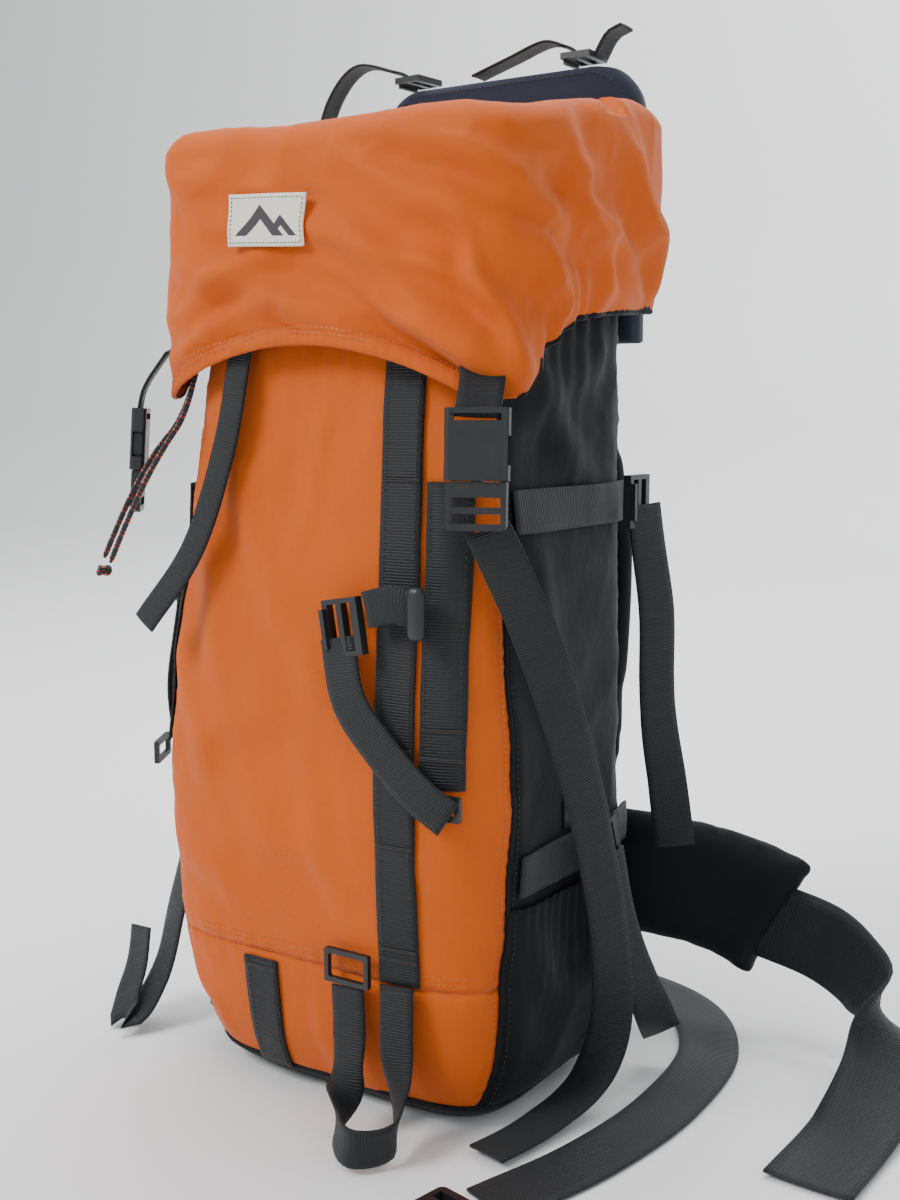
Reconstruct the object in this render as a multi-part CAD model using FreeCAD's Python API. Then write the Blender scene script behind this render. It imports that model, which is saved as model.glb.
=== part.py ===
"""Slim alpine climbing pack: drawstring bag with a draped hinged lid, compression straps,
tool loops and a padded harness. Millimetres, +Z up, front towards -Y, base on z = 0."""
import FreeCAD, Part
import math
import os

V = FreeCAD.Vector
os.makedirs("parts", exist_ok=True)

# ---- driving dimensions -------------------------------------------------------------------
FABRIC = 2.0            # wall of the bag, coated nylon with its lining
GAP = 0.4               # clear space between pieces that lie on one another
WEB = 1.6               # thickness of the webbing
STRAP_W = 25.0          # compression and lid straps
ROPE_W = 16.0           # narrow rope strap
BELT_W = 50.0           # hip belt webbing
CORD_D = 3.4            # drawcord
CORD_BEND = 0.45        # share of the shorter run that each bend takes up
KNOT_R = 4.6

# Bag sections: height, left, right, front, back.
BAG = (
    (0.0, -98.0, 84.0, -82.0, 60.0),
    (14.0, -116.0, 98.0, -98.0, 70.0),
    (60.0, -132.0, 106.0, -110.0, 74.0),
    (180.0, -140.0, 110.0, -117.0, 74.0),
    (300.0, -131.0, 108.0, -114.0, 74.0),
    (400.0, -116.0, 105.0, -107.0, 74.0),
    (476.0, -107.0, 103.0, -101.0, 74.0),
)
BAG_SQUARE = 5.0        # superellipse exponent of the bag sections
SECTION_POINTS = 32
BAG_TOP = 476.0
SIDE_SEAM_Y = -84.0     # seam between front and side panels
BACK_SEAM_Y = 60.0      # seam between side and back panels
LOWER_SEAM_Z = 88.0     # seam of the lower front panel
BASE_SEAM_Z = 12.0      # top of the black base
COLLAR_TOP = 524.0
POCKET_TOP = 132.0
POCKET_DEPTH = 9.0      # room between a side pocket and the bag

# Lid: outer box of the draped shell, and the line it turns about.
LID = (-127.0, 126.0, -122.0, 92.0)
LID_SQUARE = 5.5
LID_TOP = 572.0
LID_WALL = 2.4
LID_HEM_FRONT = 446.0   # top of the arch in the front hem
LID_HEM_CORNER = 416.0
LID_HEM_SIDE = 464.0
LINER_Z = 526.0

BACK_Y = 76.0           # outside of the back panel
PAD_T = 15.0            # foam of the back
YOKE_TOP = 626.0          # top edge of the plate behind the lid
CHAIN_X = 52.0          # centre of the daisy chain
SPARE_X = -50.0         # centre of the spare tool loop

# 25 mm side-release buckle, every height from the mouth of the socket
SOCKET_W = 34.0
SOCKET_H = 37.0
SOCKET_T = 9.0
PLUG_H = 25.0
PLUG_T = 6.0
ARM_L = 25.0
SOCKET_WALL = 2.2
SOCKET_ROOM = 3.1       # half the thickness of the hollow
SOCKET_DEPTH = 28.0
WINDOW = (8.0, 23.0)    # low and high edge of the side windows
TAB_SLOT = (30.5, 34.0)
MOUTH_GAP = 0.6         # between the plug's base and the mouth
GUIDE = (2.5, 2.4, 22.0)    # half width, half thickness and height of the centre guide
BAR_SLOT = 13.2         # half the width of every webbing slot
BELT_BUCKLE_SCALE = 1.3
BELT_BUCKLE_AT = (124.0, -196.0, 6.2)
BELT_BUCKLE_TURN = -12.0

# Ladder lock for 25 mm webbing
LOCK_W = 32.0
LOCK_H = 26.0
LOCK_T = 5.0


# ---- helpers ------------------------------------------------------------------------------
def box(x0, x1, y0, y1, z0, z1):
    return Part.makeBox(x1 - x0, y1 - y0, z1 - z0, V(x0, y0, z0))


def placed(shape, at, azimuth=0.0, tilt=0.0, roll=0.0):
    """Turn a local shape (width X, outward -Y, up Z) by roll about Y, tilt about X, azimuth about Z."""
    shape = shape.copy()
    shape.rotate(V(0, 0, 0), V(0, 1, 0), roll)
    shape.rotate(V(0, 0, 0), V(1, 0, 0), tilt)
    shape.rotate(V(0, 0, 0), V(0, 0, 1), azimuth)
    shape.translate(V(*at))
    return shape


def section(z, left, right, front, back, square):
    """Closed superellipse through the four extremes."""
    cx, cy = (left + right) / 2, (front + back) / 2
    a, b = (right - left) / 2, (back - front) / 2
    points = []
    for i in range(SECTION_POINTS):
        t = 2 * math.pi * i / SECTION_POINTS
        c, s = math.cos(t), math.sin(t)
        x = cx + a * math.copysign(abs(c) ** (2 / square), c)
        y = cy + b * math.copysign(abs(s) ** (2 / square), s)
        points.append(V(x, y, z))
    curve = Part.BSplineCurve()
    curve.interpolate(Points=points, PeriodicFlag=True)
    return Part.Wire([curve.toShape()])


def bag_row(z):
    """Bag extremes at any height, linear between the sections."""
    for low, high in zip(BAG, BAG[1:]):
        if z <= high[0]:
            break
    t = (z - low[0]) / (high[0] - low[0])
    return [a + t * (b - a) for a, b in zip(low[1:], high[1:])]


def bag_solid(offset, bottom=0.0):
    """The bag as one solid, grown sideways by offset (negative shrinks)."""
    rows = [row for row in BAG if row[0] > bottom + 1]
    rows = [(bottom, *bag_row(bottom))] + rows
    wires = [
        section(z, left - offset, right + offset, front - offset, back + offset, BAG_SQUARE)
        for z, left, right, front, back in rows
    ]
    return Part.makeLoft(wires, True, False)


SHELLS = {}


def skin(inner, outer):
    """Layer that follows the bag between two offsets."""
    for offset in (inner, outer):
        if offset not in SHELLS:
            SHELLS[offset] = bag_solid(offset)
    return SHELLS[outer].cut(SHELLS[inner])


def on_bag(region, layer=0, thickness=WEB):
    """Webbing lying on the bag inside a box region; layer 1 lies over layer 0."""
    inner = GAP + layer * (WEB + GAP)
    return skin(inner, inner + thickness).common(region)


def ribbon(points, across, width, thickness=WEB, steps=4):
    """Webbing through points; across holds the width direction at each point."""
    points = [V(*p) for p in points]
    across = [V(*a) for a in across]
    knots = [0.0]
    for a, b in zip(points, points[1:]):
        knots.append(knots[-1] + (b - a).Length)
    curve = Part.BSplineCurve()
    curve.interpolate(Points=points, Parameters=knots)
    stations = [(0, 0.0)]
    stations += [(i, (k + 1) / steps) for i in range(len(points) - 1) for k in range(steps)]
    wires = []
    for i, t in stations:
        u = knots[i] + t * (knots[i + 1] - knots[i])
        at = curve.value(u)
        run = curve.tangent(u)[0]
        side = across[i] * (1 - t) + across[i + 1] * t
        side = side - run * side.dot(run)
        side.normalize()
        face = run.cross(side)
        corners = [
            at + side * (sx * width / 2) + face * (sn * thickness / 2)
            for sx, sn in ((1, 1), (-1, 1), (-1, -1), (1, -1))
        ]
        wires.append(Part.makePolygon(corners + corners[:1]))
    return Part.makeLoft(wires, True, True)


def rounded(shape, radius, keep):
    """Fillet the edges that keep(edge) accepts."""
    edges = [edge for edge in shape.Edges if keep(edge)]
    return shape.makeFillet(radius, edges)


def along(edge, axis):
    """True for a straight edge along the axis."""
    if len(edge.Vertexes) != 2:
        return False
    run = edge.Vertexes[1].Point - edge.Vertexes[0].Point
    return abs(abs(run.normalize().dot(axis)) - 1) < 1e-4


def export(name, shape):
    shape.exportStep("parts/" + name + ".step")
    solids = len(shape.Solids)
    print(name, "solids", solids, "valid", shape.isValid(), "cm3", round(shape.Volume / 1000, 2))


X, Y, Z = V(1, 0, 0), V(0, 1, 0), V(0, 0, 1)
ACROSS_X = (1, 0, 0)


# ---- bag ----------------------------------------------------------------------------------
def bag_panels():
    """Front, sides, back and base of the bag, cut from one soft shell along the seams."""
    shell = bag_solid(0.0).cut(bag_solid(-FABRIC, bottom=FABRIC))
    wide = 300
    side_y = (SIDE_SEAM_Y, BACK_SEAM_Y)
    regions = {
        "base_panel": box(-wide, wide, -wide, wide, 0, BASE_SEAM_Z),
        "front_lower_panel": box(-wide, wide, -wide, SIDE_SEAM_Y, BASE_SEAM_Z, LOWER_SEAM_Z),
        "front_panel": box(-wide, wide, -wide, SIDE_SEAM_Y, LOWER_SEAM_Z, BAG_TOP - 0.01),
        "left_side_panel": box(-wide, 0, *side_y, BASE_SEAM_Z, BAG_TOP - 0.01),
        "right_side_panel": box(0, wide, *side_y, BASE_SEAM_Z, BAG_TOP - 0.01),
        "back_panel": box(-wide, wide, BACK_SEAM_Y, wide, BASE_SEAM_Z, BAG_TOP - 0.01),
    }
    for name, region in regions.items():
        export(name, shell.common(region))


def snow_collar():
    """Drawstring collar standing in the mouth of the bag, drawn partly together."""
    left, right, front, back = bag_row(BAG_TOP)
    rows = ((BAG_TOP - 26, 4), (BAG_TOP + 6, 6), (COLLAR_TOP, 20))

    def loft(wall):
        return Part.makeLoft(
            [section(z, left + s + wall, right - s - wall, front + s + wall, back - s - wall, 4)
             for z, s in rows], True, False)

    export("snow_collar", loft(0).cut(loft(1.6)))


def side_pocket(name, sign):
    """Flat stretch pocket low on a side, open at the top."""
    far = 300
    across = (0, far) if sign > 0 else (-far, 0)
    region = box(*across, SIDE_SEAM_Y + 8, BACK_SEAM_Y - 8, 16, POCKET_TOP)
    room = box(*across, SIDE_SEAM_Y + 12, BACK_SEAM_Y - 12, 20, POCKET_TOP + 8)
    rim = skin(GAP, POCKET_DEPTH + WEB).common(region)
    export(name, rim.cut(skin(GAP, POCKET_DEPTH).common(room)))


def back_parts():
    """Padded back, its two stays inside the bag, and the yoke that carries the harness."""
    pad = box(-96, 80, BACK_Y + 2 * GAP, BACK_Y + PAD_T, 30, 450)
    export("back_pad", rounded(pad, 6, lambda edge: along(edge, Y)))
    stay = box(-9, 9, BACK_Y - 11.0, BACK_Y - 8.0, 60, 440)
    export("frame_stays", Part.makeCompound([placed(stay, (-48, 0, 0)), placed(stay, (32, 0, 0))]))
    yoke = box(-104, 88, BACK_Y + PAD_T + 6, BACK_Y + PAD_T + 12, 452, YOKE_TOP)
    yoke = rounded(yoke, 30, lambda edge: along(edge, Y) and edge.CenterOfMass.z > 500)
    foot = box(-90, 74, BACK_Y + PAD_T + GAP, BACK_Y + PAD_T + 6.5, 452, 466)
    lugs = [box(x, x + 3.5, BACK_Y + PAD_T + 11.5, BACK_Y + PAD_T + 24, 554, 562) for x in (-32.5, 13)]
    export("yoke", yoke.fuse([foot] + lugs))


# ---- webbing on the front -----------------------------------------------------------------
def front_box(x, width, low, high):
    return box(x - width / 2, x + width / 2, -200, -40, low, high)


def daisy_chain():
    export("daisy_chain", on_bag(front_box(CHAIN_X, STRAP_W, 90, 452)))


def ice_axe_loop():
    """Loop sewn at the foot of the chain: down to the floor, round on edge, back up to the ring."""
    points = (
        (CHAIN_X, -115.5, 86), (CHAIN_X + 3, -121, 52), (CHAIN_X + 9, -127, 28),
        (CHAIN_X + 17, -146, 16), (CHAIN_X + 2, -163, 15), (CHAIN_X - 18, -150, 17),
        (CHAIN_X - 27, -128, 32), (CHAIN_X - 30, -121, 56), (CHAIN_X - 32, -119.5, 82),
    )
    across = (
        (1, 0, 0), (1, 0, 0.1), (0.7, -0.5, 0.5), (0.1, -0.2, 1), (0, 0, 1),
        (0, 0.2, 1), (-0.7, 0.4, 0.6), (-1, 0, 0.1), (-1, 0, 0),
    )
    export("ice_axe_loop", ribbon(points, across, STRAP_W - 3))


def ring(width, height, thickness, bar):
    """Rectangular webbing ring, centred."""
    outer = box(-width / 2, width / 2, -thickness / 2, thickness / 2, -height / 2, height / 2)
    hole = box(-width / 2 + bar, width / 2 - bar, -thickness, thickness, -height / 2 + bar, height / 2 - bar)
    return rounded(outer.cut(hole), 1.2, lambda edge: along(edge, Y))


def axe_loop_ring():
    export("axe_loop_ring", placed(ring(31, 20, 3.2, 3), (CHAIN_X - 32, -119.8, 95)))


def spare_axe_loop():
    """Second tool loop, flat on the lower front and tucked under the edge of the base."""
    export("spare_axe_loop", on_bag(front_box(SPARE_X, STRAP_W, 3, 84)))


# ---- buckles and locks --------------------------------------------------------------------
def ladder_lock():
    """Tension lock: frame with a middle bar and a lifting lip, webbing along Z, centred."""
    frame = box(-LOCK_W / 2, LOCK_W / 2, -LOCK_T / 2, LOCK_T / 2, -LOCK_H / 2, LOCK_H / 2)
    for low in (-LOCK_H / 2 + 4, 1.5):
        frame = frame.cut(box(-BAR_SLOT, BAR_SLOT, -LOCK_T, LOCK_T, low, low + 6.5))
    lip = box(-11, 11, -LOCK_T / 2 - 3, -LOCK_T / 2, -LOCK_H / 2, -LOCK_H / 2 + 3)
    return frame.fuse(lip)


def socket():
    """Female half: hollow body, side windows and a bar for the tab; mouth down at z = 0."""
    half = SOCKET_W / 2
    body = box(-half, half, -SOCKET_T / 2, SOCKET_T / 2, 0, SOCKET_H)
    body = rounded(body, 3, lambda edge: along(edge, Z))
    inner = half - SOCKET_WALL
    body = body.cut(box(-inner, inner, -SOCKET_ROOM, SOCKET_ROOM, -1, SOCKET_DEPTH))
    for sign in (-1, 1):
        side = sorted((sign * (half - 4), sign * (half + 1)))
        body = body.cut(box(*side, -SOCKET_ROOM, SOCKET_ROOM, *WINDOW))
    return body.cut(box(-BAR_SLOT, BAR_SLOT, -SOCKET_T, SOCKET_T, *TAB_SLOT))


def plug():
    """Male half: ladder base below the mouth and a centre guide inside the socket."""
    half = SOCKET_W / 2 - 1
    base = box(-half, half, -PLUG_T / 2, PLUG_T / 2, -PLUG_H - MOUTH_GAP, -MOUTH_GAP)
    base = rounded(base, 3, lambda edge: along(edge, Y) and edge.CenterOfMass.z < -10)
    for low in (-PLUG_H + 3, -PLUG_H + 11.5):
        base = base.cut(box(-BAR_SLOT, BAR_SLOT, -PLUG_T, PLUG_T, low, low + 5))
    width, depth, height = GUIDE
    return base.fuse(box(-width, width, -depth, depth, -1, height))


def arm(sign):
    """Springy arm with its finger pad, standing on the base just inside the window."""
    half = SOCKET_W / 2
    stem = box(half - 7.2, half - 4.4, -2.2, 2.2, -0.2, ARM_L)
    pad = box(half - 5.5, half - 2.6, -2.6, 2.6, 9.5, 21.5)
    shape = stem.fuse(pad)
    return shape if sign > 0 else shape.mirror(V(0, 0, 0), X)


# Placement of the two lid buckles: mouth of the socket, azimuth and lean.
BUCKLES = {
    "right": ((108.0, -123.0, 374.0), 20.0, -4.0),
    "left": ((-146.0, -107.0, 374.0), -50.0, -4.0),
}


def lid_buckles():
    for side, (at, azimuth, tilt) in BUCKLES.items():
        export(side + "_buckle_socket", placed(socket(), at, azimuth, tilt))
        export(side + "_buckle_plug", placed(plug(), at, azimuth, tilt))
        for label, sign in (("inner", -1), ("outer", 1)):
            export(side + "_plug_arm_" + label, placed(arm(sign), at, azimuth, tilt))


# Locks on the bag: centre, azimuth, tilt, roll.
LOCKS = {
    "axe_holder_lock": ((24, -124.5, 292), -6, 0, 80),
    "right_upper_lock": ((115.5, 48, 355), 90, 0, 90),
    "right_lower_lock": ((121.5, 2, 152), 90, 0, 70),
    "left_upper_lock": ((-148, -60, 300), -90, 0, -70),
    "left_lower_lock": ((-154, -52, 140), -90, 0, -60),
}


def locks():
    for name, (at, azimuth, tilt, roll) in LOCKS.items():
        export(name, placed(ladder_lock(), at, azimuth, tilt, roll))


# ---- straps -------------------------------------------------------------------------------
def axe_holder_strap():
    """Band across the chain to the lock, and its loose tail."""
    band = ribbon(((72, -121.5, 303), (58, -126, 307), (44, -127, 303)),
                  ((0, 0, 1),) * 3, 20)
    tail = ribbon(((22, -122.6, 272), (30, -125, 250), (48, -125, 228), (72, -124, 206), (90, -121, 193)),
                  ((1, 0, 0.1), (1, 0, 0.4), (0.8, 0, 0.6), (0.8, 0, 0.6), (0.6, 0, 0.8)), STRAP_W - 2)
    export("axe_holder_strap", Part.makeCompound([band, tail]))


def lid_straps():
    """Lid straps: from the ring at the side seam up behind the plug, and the loose tails."""
    right = on_bag(box(68, 92, -200, -40, 206, 372))
    tail = ribbon(
        ((112, -114, 346), (124, -96, 300), (132, -70, 240), (136, -42, 170), (137, -22, 100),
         (134, -14, 50), (127, -28, 17), (118, -66, 6), (108, -112, 5)),
        ((0.9, 0.35, 0), (0.75, 0.6, 0), (0.55, 0.8, 0), (0.45, 0.9, 0), (0.5, 0.85, 0),
         (0.8, 0.5, 0), (1, 0, 0), (1, 0, 0), (1, -0.1, 0)), STRAP_W)
    export("right_lid_strap", Part.makeCompound([right, tail]))
    left = on_bag(box(-300, -60, -105, -81, 206, 366))
    export("left_lid_strap", left)
    rings = [placed(ring(31, 14, 3, 3), (80, -118.6, 198)), placed(ring(31, 14, 3, 3), (-142, -97, 198), -60)]
    export("anchor_rings", Part.makeCompound(rings))


def compression_straps():
    """Four side straps: a band lying on the bag and the loose tail beyond its lock."""
    far = 300
    bands = {
        "right_upper_strap": on_bag(box(60, far, -80, 58, 343, 367)),
        "right_lower_strap": on_bag(box(60, far, -80, 58, 141, 165), layer=4),
        "left_upper_strap": on_bag(box(-far, -60, -80, 58, 290, 314)),
        "left_lower_strap": on_bag(box(-far, -60, -80, 58, 141, 165), layer=4),
    }
    tails = {
        "right_upper_strap": (
            ((127, 60, 336), (127, 50, 290), (128, 56, 230), (131, 66, 180), (134, 74, 136)),
            ((0.4, 0.9, 0), (0.5, 0.85, 0), (0.5, 0.85, 0), (0.7, 0.7, 0), (0.9, 0.4, 0))),
        "right_lower_strap": (
            ((126, 4, 130), (132, 10, 96), (138, 20, 64), (140, 34, 40), (137, 52, 22)),
            ((0.1, 1, 0), (0.2, 0.95, 0), (0.3, 0.9, 0.1), (0.5, 0.8, 0.1), (0.6, 0.7, 0.1))),
        "left_upper_strap": (
            ((-152, -64, 278), (-154, -68, 240), (-156, -62, 200), (-158, -56, 172)),
            ((0.2, -1, 0),) * 4),
        "left_lower_strap": (
            ((-164, -56, 120), (-167, -60, 84), (-172, -68, 44), (-176, -84, 18), (-182, -96, 9),
             (-190, -88, 17), (-195, -74, 36), (-197, -66, 60)),
            ((0.9, -0.4, 0), (0.9, -0.4, 0), (0.9, -0.4, 0), (0.9, -0.3, 0), (0.95, -0.1, 0),
             (0.9, -0.3, 0), (0.9, -0.3, 0), (0.9, -0.3, 0))),
    }
    for name, band in bands.items():
        export(name, Part.makeCompound([band, ribbon(*tails[name], STRAP_W)]))


def rope_strap():
    """Rope strap from under the lid, hanging free across the upper left of the front."""
    export("rope_strap", ribbon(
        ((-56, -112.5, 446), (-64, -118, 390), (-84, -126, 330), (-118, -134, 284)),
        ((1, 0, -0.1), (1, 0, -0.2), (0.95, 0, -0.3), (0.9, 0, -0.45)), ROPE_W))


def side_tag():
    """Small woven tag at the right seam below the strap ring."""
    export("side_tag", on_bag(box(92, 101, -104, -85, 168, 196), thickness=0.8))


# ---- drawcord -----------------------------------------------------------------------------
# Route of each strand: out of the collar hem, down over the left shoulder of the bag.
STRANDS = {
    "drawcord_front": (
        (-97, -102, 452), (-101, -107, 412), (-114, -122, 384), (-133, -129, 348), (-150, -129, 318)),
    "drawcord_rear": (
        (-106, -92, 448), (-111, -98, 410), (-126, -117, 382), (-141, -127, 348), (-153, -131, 321)),
}
KNOT_AT = (-154.5, -130.5, 313)


def cord(points):
    """Round cord of straight runs joined by tangent arcs."""
    points = [V(*p) for p in points]
    edges = []
    start = points[0]
    for before, corner, after in zip(points, points[1:], points[2:]):
        into, out = corner - before, after - corner
        trim = CORD_BEND * min(into.Length, out.Length)
        into.normalize()
        out.normalize()
        half = into.getAngle(out) / 2
        radius = trim / math.tan(half)
        inward = (out - into).normalize()
        middle = corner + inward * (radius / math.cos(half) - radius)
        first, last = corner - into * trim, corner + out * trim
        edges += [Part.LineSegment(start, first).toShape(), Part.Arc(first, middle, last).toShape()]
        start = last
    edges.append(Part.LineSegment(start, points[-1]).toShape())
    path = Part.Wire(edges)
    heading = (points[1] - points[0]).normalize()
    profile = Part.Wire([Part.Circle(points[0], heading, CORD_D / 2).toShape()])
    return path.makePipeShell([profile], True, False)


def drawcord():
    for name, points in STRANDS.items():
        export(name, cord(points))
    knot = Part.makeSphere(KNOT_R, V(*KNOT_AT))
    export("drawcord_knot", knot)


# ---- lid ----------------------------------------------------------------------------------
def lid_form(wall, low, top):
    """Draped box of the lid, grown inwards by wall."""
    left, right, front, back = LID
    rows = [(low + i * (top - 30 - low) / 4, 0) for i in range(5)]
    rows += [(top - 15, 1.5), (top - 5, 7), (top, 18)]
    wires = [section(z, left + s + wall, right - s - wall, front + s + wall, back - wall / 2 - s / 3,
                     LID_SQUARE)
             for z, s in rows]
    return Part.makeLoft(wires, True, True)


def hem_cutter():
    """Everything below the lid's hem: an arch in front, a raised edge at each side."""
    wide = 200
    left_x, right_x = -112, 108
    arch = [V(-wide, -wide, LID_HEM_CORNER), V(left_x, -wide, LID_HEM_CORNER)]
    edges = [Part.LineSegment(*arch).toShape()]
    crown = V((left_x + right_x) / 2 - 8, -wide, LID_HEM_FRONT)
    edges.append(Part.Arc(arch[1], crown, V(right_x, -wide, LID_HEM_CORNER)).toShape())
    outline = [V(right_x, -wide, LID_HEM_CORNER), V(wide, -wide, LID_HEM_CORNER), V(wide, -wide, 300),
               V(-wide, -wide, 300), arch[0]]
    edges += Part.makePolygon(outline).Edges
    front = Part.Face(Part.Wire(edges)).extrude(V(0, wide - 92, 0))
    profile = [V(-wide, -92, 300), V(-wide, -92, LID_HEM_CORNER + 4), V(-wide, -60, LID_HEM_SIDE - 8),
               V(-wide, 0, LID_HEM_SIDE), V(-wide, 130, LID_HEM_SIDE + 8), V(-wide, 130, 300)]
    sides = Part.Face(Part.makePolygon(profile + profile[:1])).extrude(V(2 * wide, 0, 0))
    return front.fuse(sides)


def lid():
    low = 400
    outer = lid_form(0, low, LID_TOP)
    shell = outer.cut(lid_form(LID_WALL, low - 1, LID_TOP - LID_WALL)).cut(hem_cutter())
    shell = shell.cut(box(-118, 118, LID[3] - 14, LID[3] + 10, 390, LINER_Z - 6))
    slit = box(70, 118, -12, -9, LID_TOP - 20, LID_TOP + 5)
    export("lid_shell", shell.cut(slit))
    inside = lid_form(LID_WALL + GAP, low, LID_TOP - 8)
    export("lid_liner", inside.common(box(-200, 200, -200, 200, LINER_Z, LINER_Z + 2)))
    export("lid_patch", placed(box(-27, 27, -0.9, 0, -14, 14), (-24, LID[2] - GAP - 1, 512), 0, 0, 3))
    export("lid_zip", box(72, 116, -11.7, -9.3, LID_TOP - 8, LID_TOP - 3))
    slider = rounded(box(108, 115, -13, -8, LID_TOP + 0.6, LID_TOP + 3.6), 1, lambda edge: along(edge, Z))
    export("lid_zip_slider", slider)
    tabs = []
    for side, (at, azimuth, tilt) in BUCKLES.items():
        tab = box(-12.5, 12.5, -0.8, 0.8, 31.2, 46)
        tabs.append(placed(tab, at, azimuth, tilt))
    export("lid_tabs", Part.makeCompound(tabs))


# ---- harness ------------------------------------------------------------------------------
def harness():
    behind = BACK_Y + PAD_T
    for side, sign in (("left", -1), ("right", 1)):
        x = -8 + sign * 42
        out = x + sign * 14
        export(side + "_shoulder_strap", ribbon(
            ((x, behind + 20, 440), (x + sign * 6, behind + 30, 400), (out, behind + 42, 320),
             (out, behind + 40, 240), (x + sign * 6, behind + 30, 160)),
            (ACROSS_X,) * 5, 56, 10))
        root = -8 + sign * 78
        fin = ribbon(
            ((root, behind + 12, 102), (root + sign * 40, behind + 26, 100),
             (root + sign * 84, behind + 42, 88), (root + sign * 116, behind + 44, 76)),
            ((0, 0, 1), (0, 0.1, 1), (0, 0.2, 1), (0, 0.3, 1)), 92, 12)
        export(side + "_hip_fin", fin)
    export("right_belt_webbing", ribbon(
        ((197, 137, 72), (220, 128, 68), (246, 114, 58), (264, 98, 40), (272, 72, 22), (270, 24, 6),
         (266, -45, 3.5)),
        ((0, 0.3, 0.95), (0, 0.3, 0.95), (-0.2, 0.3, 0.95), (-0.6, 0.2, 0.8), (-1, 0, 0.4), (-1, 0, 0),
         (-1, 0, 0)), BELT_W))
    export("left_belt_webbing", ribbon(
        ((-213, 137, 72), (-232, 142, 62), (-240, 156, 44), (-222, 172, 23), (-186, 178, 6), (-120, 176, 2),
         (20, 166, 2), (110, 144, 2), (156, 84, 2), (166, 0, 2), (156, -80, 2), (134, -150, 2)),
        ((0, 0.3, 0.95), (0, 0.1, 1), (0.1, -0.3, 1), (0.2, -0.8, 0.6), (0, -1, 0.05), (0, -1, 0),
         (0, -1, 0), (-0.5, -0.8, 0), (-0.9, -0.3, 0), (-1, 0, 0), (-1, 0.1, 0), (-1, 0.2, 0)), BELT_W - 12))
    loop = ribbon(
        ((-27, behind + 21, 558), (-23, behind + 30, 561), (-8, behind + 36, 564), (7, behind + 30, 561),
         (11, behind + 21, 558)), ((0, 0, 1),) * 5, 14, 3)
    export("haul_loop", loop)


def lifters():
    """Load lifter straps and their locks on the top edge of the yoke."""
    top = YOKE_TOP
    y = BACK_Y + PAD_T + 14
    left = ribbon(
        ((-172, y + 4, 590), (-156, y + 2, 628), (-130, y, 648), (-96, y, 640)),
        ((0, 1, 0),) * 4, 16)
    right = ribbon(
        ((-34, y, top + 4), (-6, y, top + 12), (20, y, top + 19), (36, y, top + 14)),
        ((0, 1, 0),) * 4, 16)
    end = ribbon(((58, y, top + 6), (66, y, top + 18), (76, y, top + 22)), ((0, 1, 0),) * 3, 18)
    export("lifter_straps", Part.makeCompound([left, right, end]))
    lock = ladder_lock()
    lock.scale(0.8)
    locks_pair = [placed(lock, (-82, y, top + 7), 0, 90, 84), placed(lock, (46, y, top + 7), 0, 90, 90)]
    export("lifter_locks", Part.makeCompound(locks_pair))


def belt_buckle():
    """Wide side-release buckle on the end of the left belt, lying on the floor."""
    for name, shape in (("belt_buckle_socket", socket()), ("belt_buckle_plug", plug())):
        shape.scale(BELT_BUCKLE_SCALE)
        export(name, placed(shape, BELT_BUCKLE_AT, BELT_BUCKLE_TURN, 90))


bag_panels()
snow_collar()
side_pocket("left_side_pocket", -1)
side_pocket("right_side_pocket", 1)
back_parts()
daisy_chain()
ice_axe_loop()
axe_loop_ring()
spare_axe_loop()
lid_buckles()
locks()
axe_holder_strap()
lid_straps()
compression_straps()
rope_strap()
side_tag()
drawcord()
lid()
harness()
lifters()
belt_buckle()
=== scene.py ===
"""Looks of a slim alpine climbing pack: soft bag and draped lid, webbing, buckles, cords and harness."""

import math

import bmesh
import bpy
import numpy as np
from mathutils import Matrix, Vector, noise
from mathutils.bvhtree import BVHTree


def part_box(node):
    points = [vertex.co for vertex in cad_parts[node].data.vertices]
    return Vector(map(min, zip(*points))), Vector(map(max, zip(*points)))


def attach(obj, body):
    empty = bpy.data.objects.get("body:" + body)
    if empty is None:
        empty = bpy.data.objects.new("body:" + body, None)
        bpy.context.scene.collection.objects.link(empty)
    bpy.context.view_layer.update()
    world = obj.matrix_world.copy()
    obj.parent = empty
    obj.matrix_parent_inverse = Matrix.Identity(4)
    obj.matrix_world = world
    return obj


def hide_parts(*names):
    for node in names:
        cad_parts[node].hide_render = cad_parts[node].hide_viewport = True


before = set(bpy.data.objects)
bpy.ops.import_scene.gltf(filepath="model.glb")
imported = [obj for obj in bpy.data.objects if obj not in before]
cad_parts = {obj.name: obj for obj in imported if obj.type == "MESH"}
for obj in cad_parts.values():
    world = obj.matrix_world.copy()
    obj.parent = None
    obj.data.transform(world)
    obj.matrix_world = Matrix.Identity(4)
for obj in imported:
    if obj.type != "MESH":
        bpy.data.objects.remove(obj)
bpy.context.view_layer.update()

bl_info = {
    "name": "Climbing Pack",
    "version": (1, 0, 0),
    "blender": (4, 5, 0),
    "location": "View3D > Sidebar > Climbing Pack",
    "description": "Builds a slim climbing pack over its frame of bodies",
    "category": "Add Mesh",
}

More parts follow.
